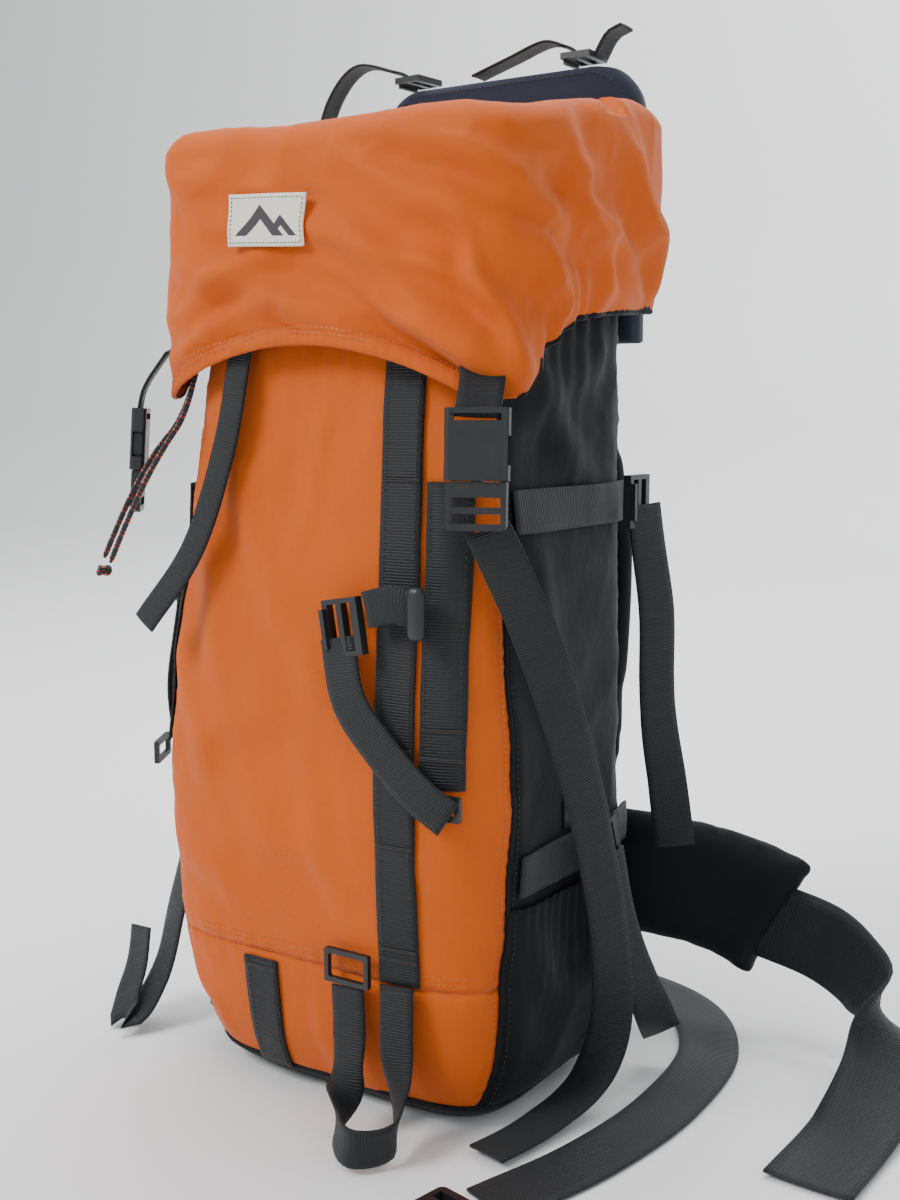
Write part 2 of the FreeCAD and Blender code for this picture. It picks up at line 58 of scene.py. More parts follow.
# ---- shape of the bag and lid, in metres ---------------------------------------------------
# Bag sections: height, left, right, front, back.
BAG = (
    (0.000, -0.098, 0.084, -0.082, 0.060),
    (0.014, -0.116, 0.098, -0.098, 0.070),
    (0.060, -0.132, 0.106, -0.110, 0.074),
    (0.180, -0.140, 0.110, -0.117, 0.074),
    (0.300, -0.131, 0.108, -0.114, 0.074),
    (0.400, -0.116, 0.105, -0.107, 0.074),
    (0.476, -0.107, 0.103, -0.101, 0.074),
)
BAG_SQUARE = 5.0
BAG_TOP = 0.476
SIDE_SEAM_Y = -0.084
BACK_SEAM_Y = 0.060
LOWER_SEAM_Z = 0.088
BASE_SEAM_Z = 0.012
LID = (-0.127, 0.126, -0.122, 0.092)
LID_SQUARE = 5.5
RIM_DIP = 0.009         # how far the lid's rim sags at the front
CORNER_RISE = 0.016     # height of the peak at the lid's rear right corner
LID_TOP = 0.572
CHAIN_X = 0.052         # middle of the daisy chain
SPARE_X = -0.050        # middle of the spare tool loop
TACK_X = 0.080          # middle of the band that the right lid buckle is sewn to
WEB = 0.0016            # thickness of the webbing
WEB_CUP = 0.0006        # how far loose webbing bows across its width
WEB_SPAN = 4            # rows each way that stiff webbing bridges over the cloth
CLOTH_T = 0.0012        # thickness of the bag's cloth
SMOOTH_STEP = 0.004     # distance between rows of a strap
TURN = 6.283            # one turn, for patterns that repeat by a sine

# Folds in the cloth: start and end as (way round from the front's middle, height), height, width.
BAG_FOLDS = (
    (-0.08, 0.42, -0.02, 0.30, 0.0028, 0.010),
    (-0.09, 0.36, -0.05, 0.22, 0.0030, 0.012),
    (-0.11, 0.28, -0.06, 0.17, 0.0026, 0.011),
    (0.01, 0.43, -0.01, 0.33, 0.0018, 0.008),
    (-0.03, 0.31, 0.02, 0.24, 0.0020, 0.011),
    (-0.10, 0.20, -0.02, 0.24, 0.0022, 0.012),
    (-0.12, 0.15, -0.04, 0.12, 0.0022, 0.010),
    (-0.05, 0.18, 0.03, 0.14, 0.0020, 0.012),
    (0.00, 0.22, 0.03, 0.11, 0.0016, 0.009),
    (-0.10, 0.06, -0.07, 0.02, 0.0020, 0.008),
    (0.00, 0.07, 0.01, 0.02, 0.0014, 0.007),
    (0.085, 0.40, 0.09, 0.30, 0.0016, 0.006),
    (0.12, 0.44, 0.20, 0.37, 0.0040, 0.012),
    (0.12, 0.40, 0.22, 0.45, 0.0030, 0.012),
    (0.14, 0.34, 0.19, 0.22, 0.0034, 0.013),
    (0.16, 0.30, 0.23, 0.17, 0.0030, 0.012),
    (0.13, 0.26, 0.15, 0.12, 0.0024, 0.010),
    (0.13, 0.12, 0.20, 0.05, 0.0022, 0.010),
)
LID_FOLDS = (
    (-0.02, 0.520, 0.125, 0.430, 0.0085, 0.0085),
    (0.00, 0.490, 0.120, 0.422, 0.0070, 0.0070),
    (0.03, 0.540, 0.150, 0.480, 0.0070, 0.0100),
    (0.05, 0.565, 0.170, 0.500, 0.0060, 0.0095),
    (0.02, 0.505, 0.105, 0.470, 0.0050, 0.0065),
    (-0.10, 0.492, 0.01, 0.462, 0.0062, 0.0080),
    (-0.11, 0.462, -0.03, 0.500, 0.0050, 0.0080),
    (-0.12, 0.436, -0.04, 0.470, 0.0056, 0.0070),
    (-0.12, 0.550, -0.05, 0.530, 0.0036, 0.0100),
    (-0.09, 0.520, -0.01, 0.490, 0.0036, 0.0070),
    (0.05, 0.462, 0.115, 0.424, 0.0056, 0.0055),
    (0.09, 0.500, 0.125, 0.430, 0.0056, 0.0060),
    (0.15, 0.555, 0.22, 0.476, 0.0070, 0.0110),
    (0.17, 0.515, 0.25, 0.500, 0.0056, 0.0090),
    (0.20, 0.560, 0.29, 0.500, 0.0060, 0.0110),
    (0.13, 0.500, 0.16, 0.460, 0.0060, 0.0070),
    (0.24, 0.535, 0.30, 0.480, 0.0050, 0.0080),
    (0.13, 0.540, 0.19, 0.535, 0.0040, 0.0080),
    (-0.20, 0.550, -0.13, 0.470, 0.0056, 0.0110),
    (-0.28, 0.540, -0.18, 0.480, 0.0056, 0.0110),
)
# Top of the lid: how far each ring is drawn in from the rim, and its height over it.
LID_CROWN = (
    (0.985, 0.004), (0.965, 0.0075), (0.94, 0.0100), (0.91, 0.0115), (0.87, 0.0120), (0.80, 0.0115),
    (0.70, 0.0100), (0.58, 0.0085), (0.44, 0.0070), (0.30, 0.0062), (0.16, 0.0058), (0.05, 0.0056),
)
RNG_SHIFT = Vector((3.1, 7.7, 1.3))     # where the slack of the cloth starts in the noise


# ---- settings -------------------------------------------------------------------------------
class PackColours(bpy.types.PropertyGroup):
    """Cloth and trim colours."""
    orange: bpy.props.FloatVectorProperty(
        name="Front cloth", description="Colour of the front panel and lid", subtype="COLOR",
        default=(0.57, 0.098, 0.004), min=0, max=1)
    black: bpy.props.FloatVectorProperty(
        name="Side cloth", description="Colour of the side panels and base", subtype="COLOR",
        default=(0.0032, 0.0038, 0.0052), min=0, max=1)
    navy: bpy.props.FloatVectorProperty(
        name="Back cloth", description="Colour of the back, collar and yoke", subtype="COLOR",
        default=(0.012, 0.016, 0.030), min=0, max=1)
    webbing: bpy.props.FloatVectorProperty(
        name="Webbing", description="Colour of the straps", subtype="COLOR",
        default=(0.0058, 0.0074, 0.0090), min=0, max=1)
    acetal: bpy.props.FloatVectorProperty(
        name="Buckles", description="Colour of the moulded parts", subtype="COLOR",
        default=(0.008, 0.009, 0.0105), min=0, max=1)
    tracer: bpy.props.FloatVectorProperty(
        name="Cord tracer", description="Colour of the flecks in the drawcord", subtype="COLOR",
        default=(0.55, 0.06, 0.03), min=0, max=1)


class PackSizes(bpy.types.PropertyGroup):
    """Sizes of the sewn details."""
    stitch_pitch: bpy.props.FloatProperty(
        name="Stitch pitch", description="Distance from one stitch to the next", unit="LENGTH",
        default=0.0036, min=0.001, max=0.02)
    stitch_length: bpy.props.FloatProperty(
        name="Stitch length", description="Length of one stitch", unit="LENGTH",
        default=0.0024, min=0.0005, max=0.02)
    thread: bpy.props.FloatProperty(
        name="Thread", description="Thickness of the sewing thread", unit="LENGTH",
        default=0.00055, min=0.0001, max=0.005)
    fold_depth: bpy.props.FloatProperty(
        name="Fold depth", description="How deep the folds in the cloth are", subtype="FACTOR",
        default=1.0, min=0, max=2)


def settings():
    scene = bpy.context.scene
    return scene.pack_colours, scene.pack_sizes


# ---- shader maths ---------------------------------------------------------------------------
class Sock:
    """A shader socket that can be used in sums."""

    def __init__(self, nodes, socket):
        self.nodes = nodes
        self.socket = socket

    def maths(self, operation, *values):
        return self.nodes.node("ShaderNodeMath", {"operation": operation}, dict(enumerate(values)))

    def __add__(self, other):
        return self.maths("ADD", self, other)

    def __sub__(self, other):
        return self.maths("SUBTRACT", self, other)

    def __rsub__(self, other):
        return self.maths("SUBTRACT", other, self)

    def __mul__(self, other):
        return self.maths("MULTIPLY", self, other)

    __radd__ = __add__
    __rmul__ = __mul__

    def sin(self):
        return self.maths("SINE", self)

    def abs(self):
        return self.maths("ABSOLUTE", self)

    def above(self, limit):
        return self.maths("GREATER_THAN", self, limit)


class Nodes:
    """A material and the one way nodes are added to it."""

    def __init__(self, name):
        self.material = bpy.data.materials.new(name)
        self.material.use_nodes = True
        self.tree = self.material.node_tree
        self.shader = self.tree.nodes["Principled BSDF"]

    def node(self, kind, set_first=None, inputs=None, output=0):
        node = self.tree.nodes.new(kind)
        for key, value in (set_first or {}).items():
            if key == "stops":
                self.stops(node.color_ramp, value)
            else:
                setattr(node, key, value)
        self.feed(node, inputs)
        return Sock(self, node.outputs[output])

    def feed(self, node, inputs):
        for key, value in (inputs or {}).items():
            if isinstance(value, Sock):
                self.tree.links.new(value.socket, node.inputs[key])
            else:
                node.inputs[key].default_value = value

    @staticmethod
    def stops(ramp, stops):
        while len(ramp.elements) < len(stops):
            ramp.elements.new(0.5)
        for element, (place, colour) in zip(ramp.elements, stops):
            element.position = place
            element.color = colour

    def coords(self, name="Object"):
        node = self.tree.nodes.new("ShaderNodeTexCoord")
        return Sock(self, node.outputs[name])

    def split(self, vector):
        node = self.tree.nodes.new("ShaderNodeSeparateXYZ")
        self.tree.links.new(vector.socket, node.inputs[0])
        return [Sock(self, output) for output in node.outputs]

    def noise(self, vector, scale, detail=3.0, rough=0.55):
        return self.node("ShaderNodeTexNoise", {}, {
            "Vector": vector, "Scale": scale, "Detail": detail, "Roughness": rough})

    def mix(self, factor, a, b):
        return self.node("ShaderNodeMix", {"data_type": "RGBA"}, {0: factor, 6: a, 7: b}, 2)

    def bump(self, height, strength, distance):
        return self.node("ShaderNodeBump", {}, {
            "Height": height, "Strength": strength, "Distance": distance})

    def finish(self, **values):
        self.feed(self.shader, {key.replace("_", " "): value for key, value in values.items()})
        return self.material


def rgba(colour, gain=1.0):
    return (*[min(1.0, c * gain) for c in colour], 1.0)


def cloth_material(name, colour, dark, light, sheen, weave=0.0011, grain=0.35):
    """Plain-weave nylon: fine weave, soft crinkle, uneven dye and a painted highlight on the weave's high
    spots.
    """
    m = Nodes(name)
    place = m.coords()
    x, y, z = m.split(place)
    ribs = (((x + y * 0.8) * (TURN / weave)).sin() * ((z * (TURN / weave)).sin())) * 0.5 + 0.5
    mottled = m.noise(place, 11.0, 4.0)
    fine = m.noise(place, 900.0, 2.0)
    crinkle = m.noise(place, 75.0, 5.0, 0.6)
    # Colour tone: mottled and fine noise are uneven dye; the ribs term lightens the weave where its bump
    # rises, a painted highlight.
    shade = mottled * 0.6 + fine * grain + ribs * 0.12 - 0.12
    colour_out = m.mix(shade, rgba(colour, dark), rgba(colour, light))
    rough = mottled * 0.12 + 0.66
    height = crinkle * 0.8 + ribs * 0.10 + fine * 0.10
    normal = m.bump(height, 0.55, 0.0022)
    return m.finish(Base_Color=colour_out, Roughness=rough, Normal=normal, Sheen_Weight=sheen,
                    Sheen_Roughness=0.45, Specular_IOR_Level=0.2)


def webbing_material(name, colour, rib=0.0017):
    """Ribbed webbing: cross ribs along the strap and raised edges, by the strap's own UV map."""
    m = Nodes(name)
    u, v, _ = m.split(m.coords("UV"))
    place = m.coords()
    ribs = (v * (TURN / rib)).sin() * 0.5 + 0.5
    cords = (u * (TURN * 9)).sin().abs()
    edge = ((u - 0.5).abs()).above(0.455)
    fuzz = m.noise(place, 1400.0, 2.0)
    worn = m.noise(place, 30.0, 3.0)
    # Colour tone: the ribs and cords terms lighten the raised weave and darken its grooves, a painted
    # highlight and painted shade; fuzz and worn are random tone and wear.
    shade = ribs * 0.45 + cords * 0.15 + fuzz * 0.35 + worn * 0.25 - 0.1
    colour_out = m.mix(shade, rgba(colour, 0.45), rgba(colour, 1.75))
    height = ribs * 0.8 + cords * 0.3 + edge * 0.7
    normal = m.bump(height, 0.7, 0.0006)
    return m.finish(Base_Color=colour_out, Roughness=worn * 0.15 + 0.52, Normal=normal,
                    Sheen_Weight=0.05, Specular_IOR_Level=0.35)


def moulded_material(name, colour):
    """Satin acetal with a fine texture and lightly scuffed areas."""
    m = Nodes(name)
    place = m.coords()
    scuff = m.noise(place, 60.0, 5.0, 0.7)
    grain = m.noise(place, 1600.0, 2.0)
    colour_out = m.mix(scuff, rgba(colour, 0.7), rgba(colour, 1.7))
    normal = m.bump(grain * 0.5 + scuff * 0.5, 0.25, 0.0004)
    return m.finish(Base_Color=colour_out, Roughness=scuff * 0.25 + 0.30, Normal=normal,
                    Specular_IOR_Level=0.5)


def cord_material(name, colour, tracer):
    """Braided cord: diagonal strands, with tracer flecks that step round it."""
    m = Nodes(name)
    u, v, _ = m.split(m.coords("UV"))
    left = ((u * TURN * 2 + v * (TURN / 0.006)).sin())
    right = ((u * TURN * 2 - v * (TURN / 0.006)).sin())
    fleck = ((left * right).above(0.42)) * ((v * (TURN / 0.009)).sin().above(0.05))
    colour_out = m.mix(fleck, rgba(colour, 1.0), rgba(tracer, 1.0))
    normal = m.bump(left * right, 0.8, 0.0005)
    return m.finish(Base_Color=colour_out, Roughness=0.7, Normal=normal, Sheen_Weight=0.2)


def patch_material(name):
    """Cream woven label with an abstract mark of a ridge line."""
    m = Nodes(name)
    u, v, _ = m.split(m.coords("UV"))
    place = m.coords()
    fine = m.noise(place, 1500.0, 2.0)
    high, notch, low, hollow = [(((u - middle).abs() * -1.9 + top) - v).above(0.0) for middle, top in
                                ((0.42, 0.80), (0.42, 0.52), (0.70, 0.60), (0.70, 0.40))]
    mark = (high - notch) + (low - hollow) * (1 - high)
    upright = (v.above(0.20)) * ((v * -1 + 0.88).above(0.0))
    inside = ((u - 0.5).abs() * -1 + 0.44).above(0.0)
    base = m.mix(fine, (0.62, 0.60, 0.50, 1), (0.80, 0.78, 0.68, 1))
    drawn = m.mix(mark * upright * inside, base, (0.035, 0.030, 0.035, 1))
    normal = m.bump(fine, 0.3, 0.0004)
    return m.finish(Base_Color=drawn, Roughness=0.8, Normal=normal, Sheen_Weight=0.2)


def tag_material(name):
    """Dark woven tag with plain red blocks."""
    m = Nodes(name)
    u, v, _ = m.split(m.coords("UV"))
    blocks = ((v * (TURN * 4)).sin().above(0.2)) * (((u - 0.5).abs() * -1 + 0.3).above(0.0))
    colour_out = m.mix(blocks, (0.02, 0.02, 0.025, 1), (0.42, 0.05, 0.03, 1))
    return m.finish(Base_Color=colour_out, Roughness=0.7)


def metal_material(name):
    """Dull drawn aluminium or coated slider metal."""
    m = Nodes(name)
    worn = m.noise(m.coords(), 300.0, 3.0)
    return m.finish(Base_Color=(0.35, 0.35, 0.37, 1), Metallic=0.9, Roughness=worn * 0.2 + 0.3)


MATERIALS = {}


def make_materials():
    colours, _ = settings()
    MATERIALS.update(
        orange=cloth_material("orange_nylon", colours.orange, 0.78, 1.15, 0.08),
        black=cloth_material("black_nylon", colours.black, 0.65, 1.6, 0.04, grain=0.5),
        navy=cloth_material("navy_nylon", colours.navy, 0.65, 1.5, 0.05, grain=0.5),
        webbing=webbing_material("charcoal_webbing", colours.webbing),
        acetal=moulded_material("black_acetal", colours.acetal),
        cord=cord_material("flecked_cord", colours.acetal, colours.tracer),
        patch=patch_material("woven_patch"),
        tag=tag_material("woven_tag"),
        metal=metal_material("slider_metal"),
        thread=moulded_material("dark_thread", (0.020, 0.016, 0.014)),
        orange_thread=moulded_material("orange_thread", (0.42, 0.12, 0.03)),
    )


# ---- mesh helpers ---------------------------------------------------------------------------
def dress(mesh, material):
    """Give the whole mesh one material and smooth faces."""
    mesh.materials.clear()
    mesh.materials.append(material)
    for face in mesh.polygons:
        face.use_smooth = True


def link(name, mesh, material=None):
    """Put a mesh in the scene."""
    obj = bpy.data.objects.new(name, mesh)
    bpy.context.scene.collection.objects.link(obj)
    if material:
        dress(mesh, material)
    return obj


def grid(name, rows, material, closed=False, uv=None):
    """Sheet through rows of points; closed joins each row's ends."""
    count = len(rows[0])
    verts = [tuple(p) for row in rows for p in row]
    faces, uvs = [], []
    columns = count if closed else count - 1
    for r in range(len(rows) - 1):
        for c in range(columns):
            d = (c + 1) % count
            ids = [r * count + c, r * count + d, (r + 1) * count + d, (r + 1) * count + c]
            faces.append(ids)
            uvs += [(c, r), (c + 1, r), (c + 1, r + 1), (c, r + 1)]
    mesh = bpy.data.meshes.new(name)
    mesh.from_pydata(verts, [], faces)
    layer = mesh.uv_layers.new(name="UVMap")
    for i, (c, r) in enumerate(uvs):
        layer.data[i].uv = uv(c, r) if uv else (c / columns, r / (len(rows) - 1))
    return link(name, mesh, MATERIALS[material])


def bake(obj):
    """Turn the live modifiers of obj into plain mesh."""
    graph = bpy.context.evaluated_depsgraph_get()
    graph.update()
    mesh = bpy.data.meshes.new_from_object(obj.evaluated_get(graph))
    obj.modifiers.clear()
    obj.data = mesh
    return obj


def thicken(obj, thickness, offset=-1.0):
    """Give a sheet its wall, inwards unless the offset says otherwise."""
    solid = obj.modifiers.new("thickness", "SOLIDIFY")
    solid.thickness = thickness
    solid.offset = offset
    return bake(obj)


def close_ends(obj, ring=0):
    """Cap a mesh over every open edge, or over its first (positive) or last (negative) ring of points."""
    bm = bmesh.new()
    bm.from_mesh(obj.data)
    if ring:
        bm.verts.ensure_lookup_table()
        bm.faces.new(bm.verts[:ring] if ring > 0 else bm.verts[ring:])
    else:
        bmesh.ops.holes_fill(bm, edges=[e for e in bm.edges if e.is_boundary], sides=0)
    bm.to_mesh(obj.data)
    bm.free()
    return obj


def smooth_curve(points, spacing):
    """Even steps along a smooth curve through the points, with each step's place between points."""
    points = [Vector(p) for p in points]
    padded = [points[0] * 2 - points[1]] + points + [points[-1] * 2 - points[-2]]
    dense, places = [], []
    for i in range(1, len(padded) - 2):
        p0, p1, p2, p3 = padded[i - 1:i + 3]
        for k in range(24):
            t = k / 24
            dense.append(0.5 * ((2 * p1) + (p2 - p0) * t + (2 * p0 - 5 * p1 + 4 * p2 - p3) * t * t
                                + (3 * p1 - p0 - 3 * p2 + p3) * t ** 3))
            places.append(i - 1 + t)
    dense.append(points[-1])
    places.append(len(points) - 1.0)
    run = [0.0]
    for a, b in zip(dense, dense[1:]):
        run.append(run[-1] + (b - a).length)
    count = max(3, int(run[-1] / spacing) + 1)
    result, j = [], 0
    for i in range(count):
        want = run[-1] * i / (count - 1)
        while j < len(run) - 2 and run[j + 1] < want:
            j += 1
        t = 0.0 if run[j + 1] == run[j] else (want - run[j]) / (run[j + 1] - run[j])
        result.append((dense[j].lerp(dense[j + 1], t), places[j] + t * (places[j + 1] - places[j]), want))
    return result


def strap(name, points, across, width, thickness=WEB, sway=0.0):
    """Loose webbing through points, with the width direction at each point."""
    across = [Vector(a) for a in across]
    steps = smooth_curve(points, SMOOTH_STEP)
    columns = 6
    rows, lengths = [], []
    for i, (at, place, run) in enumerate(steps):
        before, after = steps[max(i - 1, 0)][0], steps[min(i + 1, len(steps) - 1)][0]
        ahead = (after - before).normalized()
        k = min(int(place), len(across) - 2)
        side = across[k].lerp(across[k + 1], place - k)
        side = (side - ahead * side.dot(ahead)).normalized()
        face = ahead.cross(side)
        lift = sway * noise.noise(Vector((run * 18, 0.3, len(name))))
        rows.append([at + side * (c / columns - 0.5) * width
                     + face * (lift + WEB_CUP * (1 - (2 * c / columns - 1) ** 2))
                     for c in range(columns + 1)])
        lengths.append(run)
    return thicken(grid(name, rows, "webbing", uv=lambda c, r: (c / columns, lengths[r])), thickness, 0.0)


# ---- bag surface ----------------------------------------------------------------------------
def extents(z):
    """Left, right, front and back of the bag at a height, on a smooth curve through the sections."""
    z = min(max(z, BAG[0][0]), BAG[-1][0])
    i = 0
    while i < len(BAG) - 2 and z > BAG[i + 1][0]:
        i += 1
    a, b = BAG[i], BAG[i + 1]
    before = BAG[max(i - 1, 0)]
    after = BAG[min(i + 2, len(BAG) - 1)]
    h = b[0] - a[0]
    t = (z - a[0]) / h
    result = []
    for k in range(1, 5):
        m0 = (b[k] - before[k]) / (b[0] - before[0]) * h
        m1 = (after[k] - a[k]) / (after[0] - a[0]) * h
        result.append((2 * t ** 3 - 3 * t ** 2 + 1) * a[k] + (t ** 3 - 2 * t ** 2 + t) * m0
                      + (3 * t ** 2 - 2 * t ** 3) * b[k] + (t ** 3 - t ** 2) * m1)
    return result


def squared_oval(sides, square, t):
    """Points at the angles t of the squared oval that touches four sides."""
    left, right, front, back = sides
    c, s = np.cos(t), np.sin(t)
    x = (left + right) / 2 + (right - left) / 2 * np.sign(c) * np.abs(c) ** (2 / square)
    y = (front + back) / 2 + (back - front) / 2 * np.sign(s) * np.abs(s) ** (2 / square)
    return x, y


def outline(sides, square, start, end, count):
    """Evenly spaced points of a squared oval between two angles, their normals and way round."""
    t = np.linspace(start, end, 900)
    x, y = squared_oval(sides, square, t)
    run = np.concatenate([[0], np.cumsum(np.hypot(np.diff(x), np.diff(y)))])
    want = np.linspace(0, run[-1], count)
    x, y = np.interp(want, run, x), np.interp(want, run, y)
    gx, gy = np.gradient(x), np.gradient(y)
    size = np.hypot(gx, gy) + 1e-9
    nx, ny = gy / size, -gx / size
    if start < -math.pi / 2 < end:
        return x, y, nx, ny, want - np.interp(-math.pi / 2, t, run)
    return x, y, nx, ny, want + half_front(sides, square, start)


def half_front(sides, square, angle):
    """Way round from the middle of the front to an angle on the right."""
    x, y = squared_oval(sides, square, np.linspace(-math.pi / 2, angle, 400))
    return float(np.sum(np.hypot(np.diff(x), np.diff(y))))


def seam_angle(sides, y):
    """Angle from the X axis at which the bag's outline reaches a seam."""
    cy, b = (sides[2] + sides[3]) / 2, (sides[3] - sides[2]) / 2
    return math.asin(min(1.0, (abs(y - cy) / b)) ** (BAG_SQUARE / 2))


def fold_height(s, z, folds):
    """Height of the listed folds at a way round and height: a ridge with a hollow beside it."""
    total = 0.0
    for s1, z1, s2, z2, height, width in folds:
        ds, dz = s2 - s1, z2 - z1
        length = math.hypot(ds, dz)
        t = ((s - s1) * ds + (z - z1) * dz) / length ** 2
        if not -0.2 < t < 1.2:
            continue
        away = ((s - s1) * dz - (z - z1) * ds) / length
        if abs(away) > 5 * width:
            continue
        fade = math.sin(math.pi * min(max((t + 0.2) / 1.4, 0), 1)) ** 0.8
        away += 0.3 * width * math.sin(9 * t + s1 * 90)
        total += height * fade * (math.exp(-(away / width) ** 2)
                                  - 0.65 * math.exp(-((away - 1.8 * width) / (1.3 * width)) ** 2))
    return total


def soft_relief(s, z, amount):
    """Broad slack and small crinkles of the cloth."""
    at = Vector((s * 11, z * 9, 0.0)) + RNG_SHIFT
    broad = noise.noise(at)
    across = noise.noise(Vector((s * 34 + z * 14, z * 26 - s * 10, 2.0)))
    ridge = 1 - 2 * abs(noise.noise(Vector((s * 20 - z * 12, z * 17 + s * 8, 5.0))))
    sharp = 1 - 2.4 * abs(noise.noise(Vector((s * 27 + z * 30, z * 38 - s * 9, 8.0))))
    crease = max(0.0, sharp) ** 3 * max(0.0, broad + 0.25)
    return amount * (0.0026 * broad + 0.0010 * across + 0.0011 * (ridge - 0.5) + 0.0013 * crease)


def bag_relief(s, z, seams):
    """Offset of the bag's cloth: folds, slack, the pull at seams and a gather near the top."""
    _, sizes = settings()
    depth = sizes.fold_depth
    total = depth * (fold_height(s, z, BAG_FOLDS) + soft_relief(s, z, 1.0))
    for seam in seams:
        near = math.exp(-((s - seam) / 0.004) ** 2)
        pucker = 0.0004 * math.sin(z * 700) * math.exp(-((s - seam) / 0.010) ** 2)
        total += -0.0012 * near + pucker
    near = math.exp(-((z - LOWER_SEAM_Z) / 0.003) ** 2)
    total += -0.0009 * near + 0.0004 * math.sin(s * 500) * math.exp(-((z - LOWER_SEAM_Z) / 0.010) ** 2)
    gather = math.exp(-max(0.0, 0.47 - z) / 0.035)
    total += 0.0012 * gather * math.sin(s * 330 + 3 * math.sin(s * 40))
    return total


def bag_rows(kind, low, high, columns):
    """Rows of points of one panel of the bag between two heights."""
    count = max(2, int(round((high - low) / SMOOTH_STEP)) + 1)
    rows = []
    for i in range(count):
        z = low + (high - low) * i / (count - 1)
        sides = extents(z)
        front, back = seam_angle(sides, SIDE_SEAM_Y), seam_angle(sides, BACK_SEAM_Y)
        if SIDE_SEAM_Y < sides[2]:
            front = math.pi / 2 - 0.02
        if BACK_SEAM_Y >= sides[3]:
            back = math.pi / 2 - 0.02
        spans = {
            "front": (-math.pi + front, -front), "right": (-front, back),
            "back": (back, math.pi - back), "left": (math.pi - back, math.pi + front),
        }
        start, end = spans[kind]
        if kind == "left":
            start, end = start - 2 * math.pi, end - 2 * math.pi
        x, y, nx, ny, s = outline(sides, BAG_SQUARE, start, end, columns)
        if kind == "left":
            s = s - s[-1] - half_front(sides, BAG_SQUARE, -front)
        edges = (float(s[0]), float(s[-1]))
        row = []
        for k in range(columns):
            d = bag_relief(float(s[k]), z, edges)
            if kind == "back":
                d *= 0.3
            row.append(Vector((x[k] + nx[k] * d, y[k] + ny[k] * d, z)))
        rows.append(row)
    return rows


# ---- surfaces to lay things on ----------------------------------------------------------------
CLOTH = {}


def note_cloth(group, objects):
    """Keep the finished cloth of a group as a tree for laying webbing on."""
    verts, faces = [], []
    for obj in objects:
        start = len(verts)
        verts += [v.co.copy() for v in obj.data.vertices]
        faces += [[start + i for i in face.vertices] for face in obj.data.polygons]
    CLOTH[group] = BVHTree.FromPolygons(verts, faces)


def drop(group, at, direction, lift):
    """Point on the cloth under at, seen along direction, raised by lift."""
    hit = CLOTH[group].ray_cast(at - direction * 0.4, direction)[0]
    return (hit if hit else at) - direction * lift


def laid(name, start, end, width, direction, lift=0.0016, material="webbing", group="bag", thickness=WEB):
    """Webbing lying on the cloth between two points, pressed on along direction."""
    start, end, direction = Vector(start), Vector(end), Vector(direction).normalized()
    run = (end - start).length
    count = max(4, int(run / SMOOTH_STEP))
    side = (end - start).normalized().cross(direction).normalized()
    columns = 6
    rows = []
    for i in range(count + 1):
        at = start.lerp(end, i / count)
        rows.append([drop(group, at + side * (c / columns - 0.5) * width, direction, lift)
                     for c in range(columns + 1)])
    smooth = []
    for i, row in enumerate(rows):
        near = rows[max(0, i - WEB_SPAN):i + WEB_SPAN + 1]
        line = []
        for c, at in enumerate(row):
            depth = sum((other[c] - at).dot(direction) for other in near) / len(near)
            line.append(at + direction * min(depth, 0.0))
        smooth.append(line)
    obj = grid(name, smooth, material, uv=lambda c, r: (c / columns, r * run / count))
    return thicken(obj, thickness, 0.0)


def join(name, objects):
    """One object from several of the same material."""
    bm = bmesh.new()
    material = objects[0].data.materials[0]
    for obj in objects:
        bm.from_mesh(obj.data)
        bpy.data.objects.remove(obj)
    mesh = bpy.data.meshes.new(name)
    bm.to_mesh(mesh)
    bm.free()
    return link(name, mesh, material)


def outward(obj):
    bm = bmesh.new()
    bm.from_mesh(obj.data)
    bmesh.ops.recalc_face_normals(bm, faces=bm.faces)
    bm.to_mesh(obj.data)
    bm.free()
    return obj


def settle(obj, body, slot, *nodes):
    """Place a finished piece: outward faces, its body and the nodes that it stands for; the slot is not used.
    """
    outward(obj)
    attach(obj, body)
    if nodes:
        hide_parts(*nodes)
    return obj


def tube(name, points, radius, material, sides=10, cap=True):
    """Round tube along points, with the run as V."""
    points = [Vector(p) for p in points]
    rows, run, lengths = [], 0.0, []
    normal = None
    for i, at in enumerate(points):
        ahead = (points[min(i + 1, len(points) - 1)] - points[max(i - 1, 0)]).normalized()
        if normal is None:
            normal = ahead.orthogonal().normalized()
        normal = (normal - ahead * normal.dot(ahead)).normalized()
        other = ahead.cross(normal)
        size = radius * (0.55 if cap and i in (0, len(points) - 1) else 1.0)
        rows.append([at + (normal * math.cos(a) + other * math.sin(a)) * size
                     for a in [2 * math.pi * k / sides for k in range(sides)]])
        if i:
            run += (at - points[i - 1]).length
        lengths.append(run)
    return close_ends(grid(name, rows, material, closed=True, uv=lambda c, r: (c / sides, lengths[r])))


